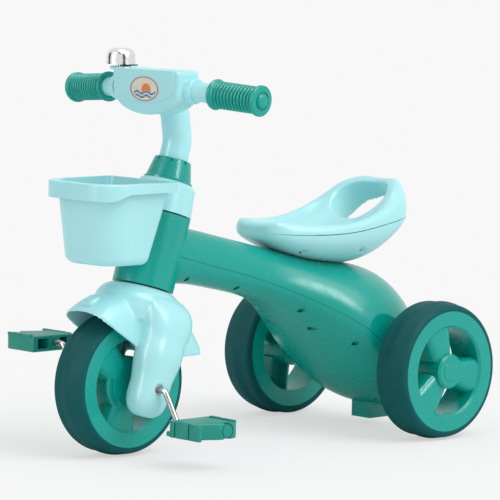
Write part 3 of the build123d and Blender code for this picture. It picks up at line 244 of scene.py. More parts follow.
def bumps(tree, shader, height, strength, distance):
    """Fine relief on the shader."""
    bump = add(tree, "ShaderNodeBump", {"Height": height}, Strength=strength, Distance=distance)
    tree.links.new(bump.outputs["Normal"], shader.inputs["Normal"])


def plastic(name, rgb, gloss):
    """Moulded plastic: faint flow marks in the colour, uneven gloss and a skin of tiny ripples."""
    material, tree, shader, place = finish(name, IOR=1.5, Specular_IOR_Level=0.38)
    tint(tree, shader, rgb, speckle(tree, place, FLOW_MARKS, 0.55, 1.0))
    dull = speckle(tree, place, GLOSS_PATCHES, gloss - 0.03, gloss + 0.05)
    tree.links.new(dull, shader.inputs["Roughness"])
    bumps(tree, shader, speckle(tree, place, SKIN_RIPPLES, 0, 1, 2.0), 0.10, 0.0003)
    return material


def tyre_foam(name, rgb):
    """Matt closed-cell foam with fine pores and a duller, slightly mottled colour."""
    material, tree, shader, place = finish(name, IOR=1.4, Specular_IOR_Level=0.16)
    tint(tree, shader, rgb, speckle(tree, place, FOAM_MOTTLE, 0.2, 1.0))
    tree.links.new(speckle(tree, place, FOAM_PATCHES, 0.5, 0.68), shader.inputs["Roughness"])
    pores = add(tree, "ShaderNodeTexVoronoi", {"Vector": place}, Scale=FOAM_PORES)
    bumps(tree, shader, pores.outputs["Distance"], 0.16, 0.0004)
    return material


def metal(name, rgb, gloss, grain):
    """Bright metal with faint drawn lines and cloudy gloss."""
    material, tree, shader, place = finish(name, Metallic=1.0)
    tint(tree, shader, rgb, speckle(tree, place, METAL_CLOUDS, 0.4, 1.0))
    stretch = add(tree, "ShaderNodeMapping", {"Vector": place}, Scale=DRAWN_LINES)
    drawn = speckle(tree, stretch.outputs["Vector"], 1.0, gloss - 0.04, gloss + 0.06)
    tree.links.new(drawn, shader.inputs["Roughness"])
    bumps(tree, shader, drawn, grain, 0.0002)
    return material


def label_print(name, colours):
    """Printed label: a cream oval with a blue rim, an orange half sun and two blue waves."""
    material, tree, shader, place = finish(name, Roughness=0.32, Coat_Weight=0.4)
    low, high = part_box("badge")
    middle = (low + high) / 2
    half_w, half_h = (high.x - low.x) / 2, (high.z - low.z) / 2
    axes = add(tree, "ShaderNodeSeparateXYZ", {"Vector": place})
    across = maths(tree, "DIVIDE", maths(tree, "SUBTRACT", axes.outputs["X"], middle.x), half_w)
    up = maths(tree, "DIVIDE", maths(tree, "SUBTRACT", axes.outputs["Z"], middle.z), half_h)

    def disc(x, y, width, height):
        """Distance from an ellipse's middle, 1 on its edge."""
        dx = maths(tree, "DIVIDE", maths(tree, "SUBTRACT", across, x), width)
        dy = maths(tree, "DIVIDE", maths(tree, "SUBTRACT", up, y), height)
        squares = maths(tree, "ADD", maths(tree, "MULTIPLY", dx, dx), maths(tree, "MULTIPLY", dy, dy))
        return maths(tree, "SQRT", squares)

    worn = [channel * WORN for channel in colours.cream]
    picture = blend(tree, worn, colours.cream, speckle(tree, place, LABEL_WEAR, 0, 1))

    phase = maths(tree, "MULTIPLY", across, SWELL_PACE)
    swell = maths(tree, "MULTIPLY", maths(tree, "SINE", phase), SWELL_RISE)
    sun = maths(tree, "LESS_THAN", disc(*SUN_DISC), 1.0)
    above = maths(tree, "GREATER_THAN", up, maths(tree, "ADD", swell, HORIZON))
    picture = blend(tree, picture, colours.orange, maths(tree, "MULTIPLY", sun, above))
    sea = maths(tree, "LESS_THAN", disc(*SEA_DISC), 1.0)
    for height in WAVES:
        depth = maths(tree, "ABSOLUTE", maths(tree, "SUBTRACT", up, maths(tree, "ADD", swell, height)))
        wave = maths(tree, "LESS_THAN", depth, WAVE_HALF)
        picture = blend(tree, picture, colours.blue, maths(tree, "MULTIPLY", wave, sea))
    reach = disc(*LABEL_DISC)
    past = maths(tree, "GREATER_THAN", reach, RIM[0])
    within = maths(tree, "LESS_THAN", reach, RIM[1])
    picture = blend(tree, picture, colours.blue, maths(tree, "MULTIPLY", past, within))
    tree.links.new(picture, shader.inputs["Base Color"])
    bumps(tree, shader, speckle(tree, place, LABEL_PAPER, 0, 1), 0.06, 0.0002)
    return material


FINISH = {}  # finish name -> material


def make_finishes(colours):
    """All the materials of the tricycle by the record's slots, plus the pedals' and the grips' own."""
    FINISH["mint"] = plastic("Mint plastic", colours.mint, 0.31)
    FINISH["teal"] = plastic("Teal plastic", colours.teal, 0.25)
    FINISH["pedal"] = plastic("Pedal plastic", colours.pedal, 0.42)
    FINISH["grip"] = plastic("Grip plastic", colours.teal, 0.38)
    FINISH["bearing_plastic"] = plastic("Bearing plastic", colours.bearing, 0.4)
    FINISH["tyre"] = tyre_foam("Tyre foam", colours.tyre)
    FINISH["steel"] = metal("Plated steel", colours.steel, 0.3, 0.03)
    FINISH["screw"] = metal("Screw steel", colours.screw, 0.34, 0.2)
    FINISH["chrome"] = metal("Polished steel", colours.chrome, 0.16, 0.02)
    FINISH["lever"] = plastic("Lever plastic", colours.teal, 0.3)
    FINISH["badge"] = label_print("Label print", colours)


# ---------------------------------------------------------------- mesh helpers
def welded(*nodes):
    """Copies of CAD nodes as one mesh to edit, its doubles merged."""
    bm = bmesh.new()
    for node in nodes:
        bm.from_mesh(NODES[node].data)
    bmesh.ops.remove_doubles(bm, verts=bm.verts, dist=WELD)
    return bm


def place_object(name, mesh):
    """A new object at the origin that shows the mesh."""
    piece = bpy.data.objects.new(name, mesh)
    bpy.context.scene.collection.objects.link(piece)
    return piece


def made_object(name, bm):
    """A new object at the origin from the mesh being edited."""
    mesh = bpy.data.meshes.new(name)
    bm.to_mesh(mesh)
    bm.free()
    return place_object(name, mesh)


def settled(piece):
    """Applies the piece's modifiers, leaving a plain mesh."""
    graph = bpy.context.evaluated_depsgraph_get()
    mesh = bpy.data.meshes.new_from_object(piece.evaluated_get(graph))
    piece.modifiers.clear()
    old = piece.data
    piece.data = mesh
    bpy.data.meshes.remove(old)


def carve(piece, cutter, operation="DIFFERENCE"):
    """Cuts the cutter out of the piece, or joins it to it, and removes the cutter."""
    cut = piece.modifiers.new("Carve", "BOOLEAN")
    cut.operation = operation
    cut.solver = "EXACT"
    cut.object = cutter
    settled(piece)
    bpy.data.objects.remove(cutter)


def lathe(bm, outline, steps=64):
    """Turns an outline of (radius, height) points about Z, closed at its poles."""
    verts = [bm.verts.new((radius, 0, height)) for radius, height in outline]
    edges = [bm.edges.new(pair) for pair in zip(verts, verts[1:])]
    bmesh.ops.spin(
        bm, geom=verts + edges, cent=(0, 0, 0), axis=(0, 0, 1), angle=math.tau, steps=steps,
        use_merge=True,
    )
    bmesh.ops.remove_doubles(bm, verts=bm.verts, dist=WELD)
    bmesh.ops.recalc_face_normals(bm, faces=bm.faces)


def smooth(piece, crease):
    """Smooth shading, with the edges left sharp that turn by more than this many degrees."""
    piece.data.polygons.foreach_set("use_smooth", [True] * len(piece.data.polygons))
    piece.data.set_sharp_from_angle(angle=math.radians(crease))


def dress(piece, finish_name):
    """Gives the piece one of the finishes."""
    piece.data.materials.clear()
    piece.data.materials.append(FINISH[finish_name])


def stand_in(piece, body, *nodes):
    """The piece takes the place of CAD nodes of that body."""
    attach(piece, body)
    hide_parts(*nodes)


def closed(piece, tolerance):
    """Merges slivers in the piece's mesh and fills the cracks that they leave."""
    bm = bmesh.new()
    bm.from_mesh(piece.data)
    bmesh.ops.remove_doubles(bm, verts=bm.verts, dist=tolerance)
    bmesh.ops.dissolve_degenerate(bm, edges=bm.edges, dist=tolerance)
    bmesh.ops.holes_fill(bm, edges=[edge for edge in bm.edges if edge.is_boundary], sides=0)
    bm.to_mesh(piece.data)
    bm.free()
    return piece


def islands(bm):
    """The mesh's separate parts, each a list of its vertices, in the order of their first one."""
    seen = set()
    found = []
    for first in bm.verts:
        if first in seen:
            continue
        seen.add(first)
        island = [first]
        for vert in island:  # grows while it is walked
            for link in vert.link_edges:
                other = link.other_vert(vert)
                if other not in seen:
                    seen.add(other)
                    island.append(other)
        found.append(island)
    return found


def outer_skin(piece):
    """Keeps only the largest closed surface of the piece."""
    bm = bmesh.new()
    bm.from_mesh(piece.data)
    for island in sorted(islands(bm), key=len)[:-1]:
        bmesh.ops.delete(bm, geom=island, context="VERTS")
    bm.to_mesh(piece.data)
    bm.free()


def softened(name, nodes, voxel, rounds):
    """CAD nodes as one moulding with soft edges: remeshed on a fine grid and relaxed."""
    piece = made_object(name, welded(*nodes))
    remesh = piece.modifiers.new("Grid", "REMESH")
    remesh.mode = "VOXEL"
    remesh.voxel_size = voxel
    relax = piece.modifiers.new("Relax", "SMOOTH")
    relax.factor = 0.5
    relax.iterations = rounds
    settled(piece)
    outer_skin(piece)
    return piece


# ---------------------------------------------------------------- pieces
class FinishParts(bpy.types.Operator):
    """Make the finishes and put them on every CAD piece"""

    bl_idname = "tricycle.finish_parts"
    bl_label = "Finish Parts"

    def execute(self, context):
        make_finishes(context.scene.tricycle_colours)
        for node, thing in NODES.items():
            name = "pedal" if node.endswith(("_pedal", "_pedal_cap")) else SLOT_OF[node]
            dress(thing, name)
        return {"FINISHED"}


HOLE_DEPTH = 0.03  # m: length of the cutters that clear the seat's screw holes
SEAM_STEP = 0.006  # m: spacing of the places where the seat's joint is measured
SEAM_REACH = 0.004  # m: how near the joint a point counts for the seat's outline
SEAM_OVER = 0.02  # m: how far the band stands out past the seat
SEAM_LAP = 1e-4  # m: how far each half of the band passes the middle
FACE_REACH = 1e-4  # m: how near a screw's outermost point its outer face lies


def bore(place, facing, radius, depth):
    """A round cutter that starts at the place and runs the way it faces."""
    bm = bmesh.new()
    turn = facing.to_track_quat("Z", "Y").to_matrix().to_4x4()
    shift = Matrix.Translation(place + facing * depth / 2) @ turn
    bmesh.ops.create_cone(
        bm, cap_ends=True, segments=32, radius1=radius, radius2=radius, depth=depth, matrix=shift
    )
    return made_object("bore", bm)


def seam_line():
    """The height of the seat's joint along the tricycle, from the low edge of its upper shell."""
    edge = {}
    for vert in NODES["seat_top_shell"].data.vertices:
        slot = round(vert.co.y / SEAM_STEP)
        if vert.co.z < edge.get(slot, (0, math.inf))[1]:
            edge[slot] = (slot * SEAM_STEP, vert.co.z)
    return [edge[slot] for slot in sorted(edge)]


def seam_ring(seat, gap, depth):
    """A thin wavy band that follows the seat's outline at its joint, reaching in by the depth."""
    line = seam_line()
    step = line[1][0] - line[0][0]
    half = {}  # place along the joint -> half the seat's width there
    for vert in seat.data.vertices:
        slot = round((vert.co.y - line[0][0]) / step)
        if 0 <= slot < len(line) and abs(vert.co.z - line[slot][1]) < SEAM_REACH:
            half[slot] = max(half.get(slot, 0), abs(vert.co.x))
    low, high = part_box("seat_top_shell")
    out = high.x + SEAM_OVER
    last = len(line) - 1
    bm = bmesh.new()
    for side in (-1, 1):
        rows = []
        for slot, (y, z) in enumerate(line):
            inner = max(half.get(slot, 0) - depth, 0)
            if min(y - low.y, high.y - y) < depth:
                inner = 0
            y = low.y - SEAM_OVER if slot == 0 else high.y + SEAM_OVER if slot == last else y
            corners = ((inner, -gap), (out, -gap), (out, gap), (inner, gap))
            rows.append([bm.verts.new((side * (x - SEAM_LAP), y, z + rise / 2)) for x, rise in corners])
        for here, there in zip(rows, rows[1:]):
            for i in range(4):
                bm.faces.new((here[i], here[(i + 1) % 4], there[(i + 1) % 4], there[i]))
        bm.faces.new(rows[0])
        bm.faces.new(rows[-1])
    bmesh.ops.recalc_face_normals(bm, faces=bm.faces)
    return made_object("seam", bm)


def screw_places(node):
    """For each screw of a CAD node: the middle of its outer face, the way that faces, its radius."""
    bm = welded(node)
    found = []
    for island in islands(bm):
        low = min(vert.co.x for vert in island)
        high = max(vert.co.x for vert in island)
        way = math.copysign(1, low + high)
        face = high if way > 0 else low
        heads = [vert.co for vert in island if abs(vert.co.x - face) < FACE_REACH]
        place = sum(heads, Vector()) / len(heads)
        found.append((place, Vector((way, 0, 0)), max((head - place).length for head in heads)))
    bm.free()
    return found


class MakeSeat(bpy.types.Operator):
    """Make the seat with soft edges and a fine groove where its two shells meet"""

    bl_idname = "tricycle.make_seat"
    bl_label = "Make Seat"

    def execute(self, context):
        sizes = context.scene.tricycle_sizes
        shells = ("seat_top_shell", "seat_bottom_shell")
        seat = softened("seat_moulding", shells, sizes.seat_voxel, sizes.seat_rounds)
        carve(seat, seam_ring(seat, sizes.seam, sizes.seam_depth))
        for place, facing, radius in screw_places("seat_screws"):
            carve(seat, bore(place, facing, sizes.screw_hole, HOLE_DEPTH))
        smooth(seat, 50)
        dress(seat, "mint")
        stand_in(seat, "frame", *shells)
        return {"FINISHED"}


SHARP = 0.5  # edges of a slab that turn by more than this, in radians, are rounded


def slab(name, outline, low, high, soft):
    """A plate with this outline in plan between two heights, its sharp edges rounded."""
    bm = bmesh.new()
    under = [bm.verts.new((x, y, low)) for x, y in outline]
    over = [bm.verts.new((x, y, high)) for x, y in outline]
    bm.faces.new(under[::-1])
    bm.faces.new(over)
    for i in range(len(outline)):
        j = (i + 1) % len(outline)
        bm.faces.new((under[i], under[j], over[j], over[i]))
    bm.normal_update()
    sharp = [edge for edge in bm.edges if edge.calc_face_angle(0) > SHARP]
    bmesh.ops.bevel(
        bm, geom=sharp, offset=soft, segments=3, affect="EDGES", profile=0.5, clamp_overlap=True
    )
    return made_object(name, bm)


def block(near, far, soft):
    """A soft-edged box between two corners."""
    outline = ((near[0], near[1]), (far[0], near[1]), (far[0], far[1]), (near[0], far[1]))
    return slab("block", outline, near[2], far[2], soft)


NUB_BOX = ((-9.5, -7, -5), (9.5, 7, 5), 2.0)  # mm: low and high corner, softness of the edges
NUB_SLOPE = math.radians(43)
NUB_PLACE = (-0.0833, 0.0897)  # m behind and above the front axle, along the head's own directions


class MakeFork(bpy.types.Operator):
    """Make the fork and fender moulding with softly blended joins"""

    bl_idname = "tricycle.make_fork"
    bl_label = "Make Fork"

    def execute(self, context):
        sizes = context.scene.tricycle_sizes
        piece = softened("fork_moulding", ("fork_fender",), sizes.fork_voxel, sizes.fork_rounds)
        joints = {joint["name"]: joint for joint in FRAME["record"]["behaviour"]["joints"]}
        axle, up = Vector(joints["steering"]["pos_m"]), Vector(joints["steering"]["axis"])
        back = Vector((0, up.z, -up.y))
        self.lift_tail(piece, sizes, axle, up, back)
        self.add_nub(piece, axle, up, back)
        smooth(piece, 40)
        dress(piece, "mint")
        stand_in(piece, "steering", "fork_fender")
        return {"FINISHED"}

    def lift_tail(self, piece, sizes, axle, up, back):
        """Lifts the fender's tail, more towards its tip."""
        for vert in piece.data.vertices:
            reach = (vert.co - axle).dot(back)
            share = (reach - sizes.wing_root) / (sizes.wing_tip - sizes.wing_root)
            if share > 0:
                vert.co += up * sizes.wing_rise * share

    def add_nub(self, piece, axle, up, back):
        """Adds the small raised box on the fender's front slope."""
        nub = block(*NUB_BOX)
        head = Matrix((Vector((1, 0, 0)), back, up)).transposed().to_4x4()
        slope = head @ Matrix.Rotation(NUB_SLOPE, 4, "X")
        place = axle + back * NUB_PLACE[0] + up * NUB_PLACE[1]
        nub.data.transform(Matrix.Translation(place) @ slope @ Matrix.Scale(MM, 4))
        carve(piece, nub, "UNION")


# A pedal, in mm: outward from its inner end, then backward, then up.
PEDAL_PLAN = (
    (4, -33.5), (54, -33.5), (52.4, -30), (52.8, -25), (54.8, -19), (58.2, -12), (62, -5),
    (64.8, 0), (66, 4), (66, 22), (65, 28), (61.5, 33), (55, 36), (4, 36),
)
PEDAL_LEVELS = (-11.5, 9.6)
PEDAL_SOFT = 1.5
PEDAL_SLIVER = 0.06  # edges shorter than this are merged away
PEDAL_ADDED = (  # boxes: low and high corner, softness of the edges
    ((9.5, -36, -11.3), (17.6, -31, 10.3), 0.8),
    ((19.8, -36, -11.3), (44.2, -31, 10.6), 0.9),
    ((46.4, -36, -11.4), (65.4, -30.6, 10.6), 0.9),
    ((0.4, -34, -10.8), (10, -26, -4.6), 1.5),
    ((12, 30.6, 7), (31, 35.7, 11.5), 0.9),
    ((33.4, 30.2, 7), (60, 35.2, 11.3), 0.9),
)
PEDAL_CUT = (
    ((-1, -38, -4.4), (9, -20, 6.8), 0.5),
    ((-1, -27, -7.5), (34, -10.5, 6.2), 1.0),
    ((-1, 10.5, -7.5), (34, 28, 6.2), 1.0),
    ((9, 28.2, 7.4), (61.5, 30.4, 13), 0.3),
    ((58, 8, 6.6), (68, 18, 13), 0.4),
    ((60, 8, -13), (68, 18, -9.4), 0.4),
)
PEDAL_SLOT = ((64.6, 14.0, -0.9), 10.0, 5)  # round forms: middle of the inner end, radius, length
PEDAL_PAD = ((60, 14.0, -0.9), 8.4, 5.9)
PEDAL_SLEEVE = ((2.5, 0, 0), 8.5, 6)
PEDAL_SPINDLE = ((-1, 0, 0), 4.3, 62)


def rod(inner, radius, long):
    """A round form that runs outward along X from the middle of its inner end."""
    return bore(Vector(inner), Vector((1, 0, 0)), radius, long)


def pedal_form():
    """One pedal in mm, from its inner end outward along X."""
    pedal = slab("pedal_form", PEDAL_PLAN, *PEDAL_LEVELS, PEDAL_SOFT)
    for box in PEDAL_CUT:
        carve(pedal, block(*box))
    carve(pedal, rod(*PEDAL_SLOT))
    for box in PEDAL_ADDED:
        carve(pedal, block(*box), "UNION")
    for form in (PEDAL_PAD, PEDAL_SLEEVE):
        carve(pedal, rod(*form), "UNION")
    carve(pedal, rod(*PEDAL_SPINDLE))
    return closed(pedal, PEDAL_SLIVER)


class MakePedals(bpy.types.Operator):
    """Make the two pedals with their pads, grooves, hollows and round end pads"""

    bl_idname = "tricycle.make_pedals"
    bl_label = "Make Pedals"

    def execute(self, context):
        form = pedal_form()
        for side, name in ((1, "left_pedal"), (-1, "right_pedal")):
            low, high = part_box(name)
            middle = (low + high) / 2
            inner = Vector((low.x if side > 0 else high.x, middle.y, middle.z))
            pedal = place_object(name + "_moulding", form.data.copy())
            turn = Matrix.Rotation(0 if side > 0 else math.pi, 4, "Z")
            pedal.data.transform(Matrix.Translation(inner) @ turn @ Matrix.Scale(MM, 4))
            smooth(pedal, 35)
            dress(pedal, "pedal")
            stand_in(pedal, name, name, name + "_cap")
        bpy.data.objects.remove(form)
        return {"FINISHED"}


def node_tree(name, inputs):
    """A new geometry node group that takes and gives geometry, with these named inputs."""
    tree = bpy.data.node_groups.new(name, "GeometryNodeTree")
    tree.interface.new_socket("Geometry", in_out="INPUT", socket_type="NodeSocketGeometry")
    for label, kind in inputs:
        tree.interface.new_socket(label, in_out="INPUT", socket_type="NodeSocket" + kind)
    tree.interface.new_socket("Geometry", in_out="OUTPUT", socket_type="NodeSocketGeometry")
    return tree, tree.nodes.new("NodeGroupInput").outputs, tree.nodes.new("NodeGroupOutput")


def coat(tree, result, geometry, material):
    """Ends the tree: gives the geometry its material and hands it to the result."""
    coated = add(tree, "GeometryNodeSetMaterial", {"Geometry": geometry, "Material": material})
    tree.links.new(coated.outputs[0], result.inputs[0])
    return tree


def run_tree(piece, tree, values):
    """Puts the node group on the piece with its inputs set, and keeps the resulting mesh."""
    nodes = piece.modifiers.new(tree.name, "NODES")
    nodes.node_group = tree
    for socket in tree.interface.items_tree:
        if socket.in_out == "INPUT" and socket.name in values:
            nodes[socket.identifier] = values[socket.name]
    piece.update_tag()
    settled(piece)


def rib_tree():
    """Rings of round section, set at even steps up the Z axis and joined to the sleeve."""
    inputs = (
        ("Ribs", "Int"), ("Pitch", "Float"), ("Start", "Float"), ("Radius", "Float"),
        ("Thickness", "Float"), ("Finish", "Material"),
    )
    tree, given, result = node_tree("Grip ribs", inputs)
    rise = add(tree, "ShaderNodeCombineXYZ", {"Z": given["Pitch"]})
    start = add(tree, "ShaderNodeCombineXYZ", {"Z": given["Start"]})
    line = add(tree, "GeometryNodeMeshLine", {
        "Count": given["Ribs"], "Offset": rise.outputs[0], "Start Location": start.outputs[0],
    })
    circle = "GeometryNodeCurvePrimitiveCircle"
    ring = add(tree, circle, {"Radius": given["Radius"]}, Resolution=64)
    section = add(tree, circle, {"Radius": given["Thickness"]}, Resolution=12)
    rib = add(tree, "GeometryNodeCurveToMesh", {
        "Curve": ring.outputs[0], "Profile Curve": section.outputs[0],
    })
    each = add(tree, "GeometryNodeInstanceOnPoints", {
        "Points": line.outputs[0], "Instance": rib.outputs[0],
    })
    solid = add(tree, "GeometryNodeRealizeInstances", {"Geometry": each.outputs[0]})
    both = tree.nodes.new("GeometryNodeJoinGeometry")
    tree.links.new(solid.outputs[0], both.inputs[0])
    tree.links.new(given["Geometry"], both.inputs[0])
    return coat(tree, result, both.outputs[0], given["Finish"])


AXIS_ROUNDS = 12  # rounds of turning a guess towards a node's long axis
RIB_FATNESS = 0.36  # radius of a rib's section, as a share of the ribs' pitch
CAP_DOME = 0.0035  # m: how far the middle of a grip's end stands out past its flange


def axis_of(node):
    """Middle of a turned CAD node, its long axis away from the middle plane, and its half length."""
    points = [vert.co.copy() for vert in NODES[node].data.vertices]
    low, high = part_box(node)
    middle = (low + high) / 2
    outward = Vector((1 if middle.x > 0 else -1, 0, 0))
    axis = outward
    for _ in range(AXIS_ROUNDS):
        pull = Vector()
        for point in points:
            pull += (point - middle) * (point - middle).dot(axis)
        axis = pull.normalized()
    reach = [(point - middle).dot(axis) for point in points]
    middle += axis * (max(reach) + min(reach)) / 2
    return middle, axis, (max(reach) - min(reach)) / 2


class MakeGrips(bpy.types.Operator):
    """Make the two ribbed grips with their flanges and end caps"""

    bl_idname = "tricycle.make_grips"
    bl_label = "Make Grips"

    def execute(self, context):
        sizes = context.scene.tricycle_sizes
        tree = rib_tree()
        for node in ("left_grip", "right_grip"):
            middle, axis, half = axis_of(node)
            bm = bmesh.new()
            start, span = self.sleeve(bm, sizes, 2 * half)
            grip = made_object(node + "_sleeve", bm)
            pitch = span / sizes.grip_ribs
            run_tree(grip, tree, {
                "Ribs": sizes.grip_ribs, "Pitch": pitch, "Start": start + pitch / 2,
                "Radius": sizes.sleeve_r, "Thickness": pitch * RIB_FATNESS, "Finish": FINISH["grip"],
            })
            turn = axis.to_track_quat("Z", "Y").to_matrix().to_4x4()
            grip.data.transform(Matrix.Translation(middle - axis * half) @ turn)
            smooth(grip, 40)
            stand_in(grip, "steering", node)
        return {"FINISHED"}

    def sleeve(self, bm, sizes, long):
        """The smooth sleeve, its inner collar, outer flange and cap; returns the ribs' start and span."""
        flange, sleeve, collar = sizes.flange_r, sizes.sleeve_r, sizes.collar
        cap = long - CAP_DOME
        outline = [  # radius and height in m
            (0.0131, 0.0008), (flange - 0.0022, 0), (flange - 0.0006, 0.0006), (flange, 0.0022),
            (flange, 0.0034), (flange - 0.0008, 0.0048), (sleeve + 0.0016, 0.0062),
            (sleeve + 0.0014, collar - 0.0012), (sleeve - 0.0004, collar),
            (sleeve - 0.0006, cap - 0.0078), (sleeve + 0.0012, cap - 0.0072),
            (flange - 0.0006, cap - 0.0058), (flange, cap - 0.0046), (flange, cap - 0.0012),
            (flange - 0.0007, cap - 0.0003), (flange - 0.0026, cap), (0.0128, cap + 0.0002),
            (0.0122, cap - 0.0012), (0.0098, cap - 0.0014), (0.0092, cap + 0.0016),
            (0.0078, cap + 0.003), (0.0045, long - 0.0002), (0, long),
        ]
        lathe(bm, outline)
        return collar + 0.0004, cap - 0.0082 - collar


# A screw's head, in shares of its radius.
HEAD_FLAT = 0.62  # half height of its dome
HEAD_SINK = 0.5  # how far the dome's middle lies inside the screw's outer face
RECESS_SPAN = 1.15  # length of the cross recess's arms
RECESS_LIFT = 0.75  # height of the recess's middle over the dome's


def screw_tree():
    """A pan head with a cross recess at each point, turned to face along the point's own direction."""
    inputs = (("Radius", "Float"), ("Recess", "Float"), ("Finish", "Material"))
    tree, given, result = node_tree("Pan head screws", inputs)
    radius, recess = given["Radius"], given["Recess"]
    ball = add(tree, "GeometryNodeMeshUVSphere", {"Radius": radius}, Segments=28, Rings=14)
    head = add(tree, "GeometryNodeTransform", {"Geometry": ball.outputs[0]}, Scale=(1, 1, HEAD_FLAT))
    cut = tree.nodes.new("GeometryNodeMeshBoolean")
    cut.operation = "DIFFERENCE"
    cut.solver = "EXACT"
    tree.links.new(head.outputs[0], cut.inputs["Mesh 1"])
    long = maths(tree, "MULTIPLY", radius, RECESS_SPAN)
    for wide, deep in ((long, recess), (recess, long)):
        size = add(tree, "ShaderNodeCombineXYZ", {"X": wide, "Y": deep, "Z": radius})
        arm = add(tree, "GeometryNodeMeshCube", {"Size": size.outputs[0]})
        lift = add(tree, "ShaderNodeCombineXYZ", {"Z": maths(tree, "MULTIPLY", radius, RECESS_LIFT)})
        up = add(tree, "GeometryNodeTransform", {
            "Geometry": arm.outputs[0], "Translation": lift.outputs[0],
        })
        tree.links.new(up.outputs[0], cut.inputs["Mesh 2"])
    facing = tree.nodes.new("GeometryNodeInputNamedAttribute")
    facing.data_type = "FLOAT_VECTOR"
    facing.inputs["Name"].default_value = "facing"
    turn = add(tree, "FunctionNodeAlignRotationToVector", {"Vector": facing.outputs["Attribute"]})
    each = add(tree, "GeometryNodeInstanceOnPoints", {
        "Points": given["Geometry"], "Instance": cut.outputs[0], "Rotation": turn.outputs[0],
    })
    solid = add(tree, "GeometryNodeRealizeInstances", {"Geometry": each.outputs[0]})
    return coat(tree, result, solid.outputs[0], given["Finish"])


class MakeScrews(bpy.types.Operator):
    """Make the cross-head screws sunk in the body and the seat"""

    bl_idname = "tricycle.make_screws"
    bl_label = "Make Screws"

    def execute(self, context):
        recess = context.scene.tricycle_sizes.recess
        tree = screw_tree()
        for node in ("body_screws", "seat_screws"):
            places, ways, widths = zip(*screw_places(node))
            radius = min(widths)
            mesh = bpy.data.meshes.new(node + "_heads")
            sunk = [place - way * radius * HEAD_SINK for place, way in zip(places, ways)]
            mesh.from_pydata(sunk, [], [])
            facing = mesh.attributes.new("facing", "FLOAT_VECTOR", "POINT")
            facing.data.foreach_set("vector", [value for way in ways for value in way])
            heads = place_object(node + "_heads", mesh)
            run_tree(heads, tree, {"Radius": radius, "Recess": recess, "Finish": FINISH["screw"]})
            smooth(heads, 40)
            stand_in(heads, "frame", node)
        return {"FINISHED"}


AIM = Vector((0, 0, 0.3))  # what the softboxes and the cards face
FLOOR_GLOW = 0.6  # how much of the floor's own shading gives way to the plain backdrop
SUN_FROM = Vector((0.8, 0.25, 0.95))
SUN_SPREAD = math.radians(45)
SOFTBOXES = (  # name, place, width, height, power
    ("Left softbox", (-0.6, -3.0, 1.5), 0.7, 2.4, 75),
    ("Right softbox", (3.2, 0.5, 2.2), 0.7, 2.2, 80),
    ("Top softbox", (0.5, -0.2, 3.2), 0.9, 2.4, 85),
)
CARDS = (  # name, place, width, height
    ("left_card", (-3.4, -2.4, 1.2), 1.8, 3.0),
    ("right_card", (3.6, -1.2, 1.6), 1.5, 3.0),
    ("high_card", (1.6, -2.4, 3.6), 1.4, 1.4),
)


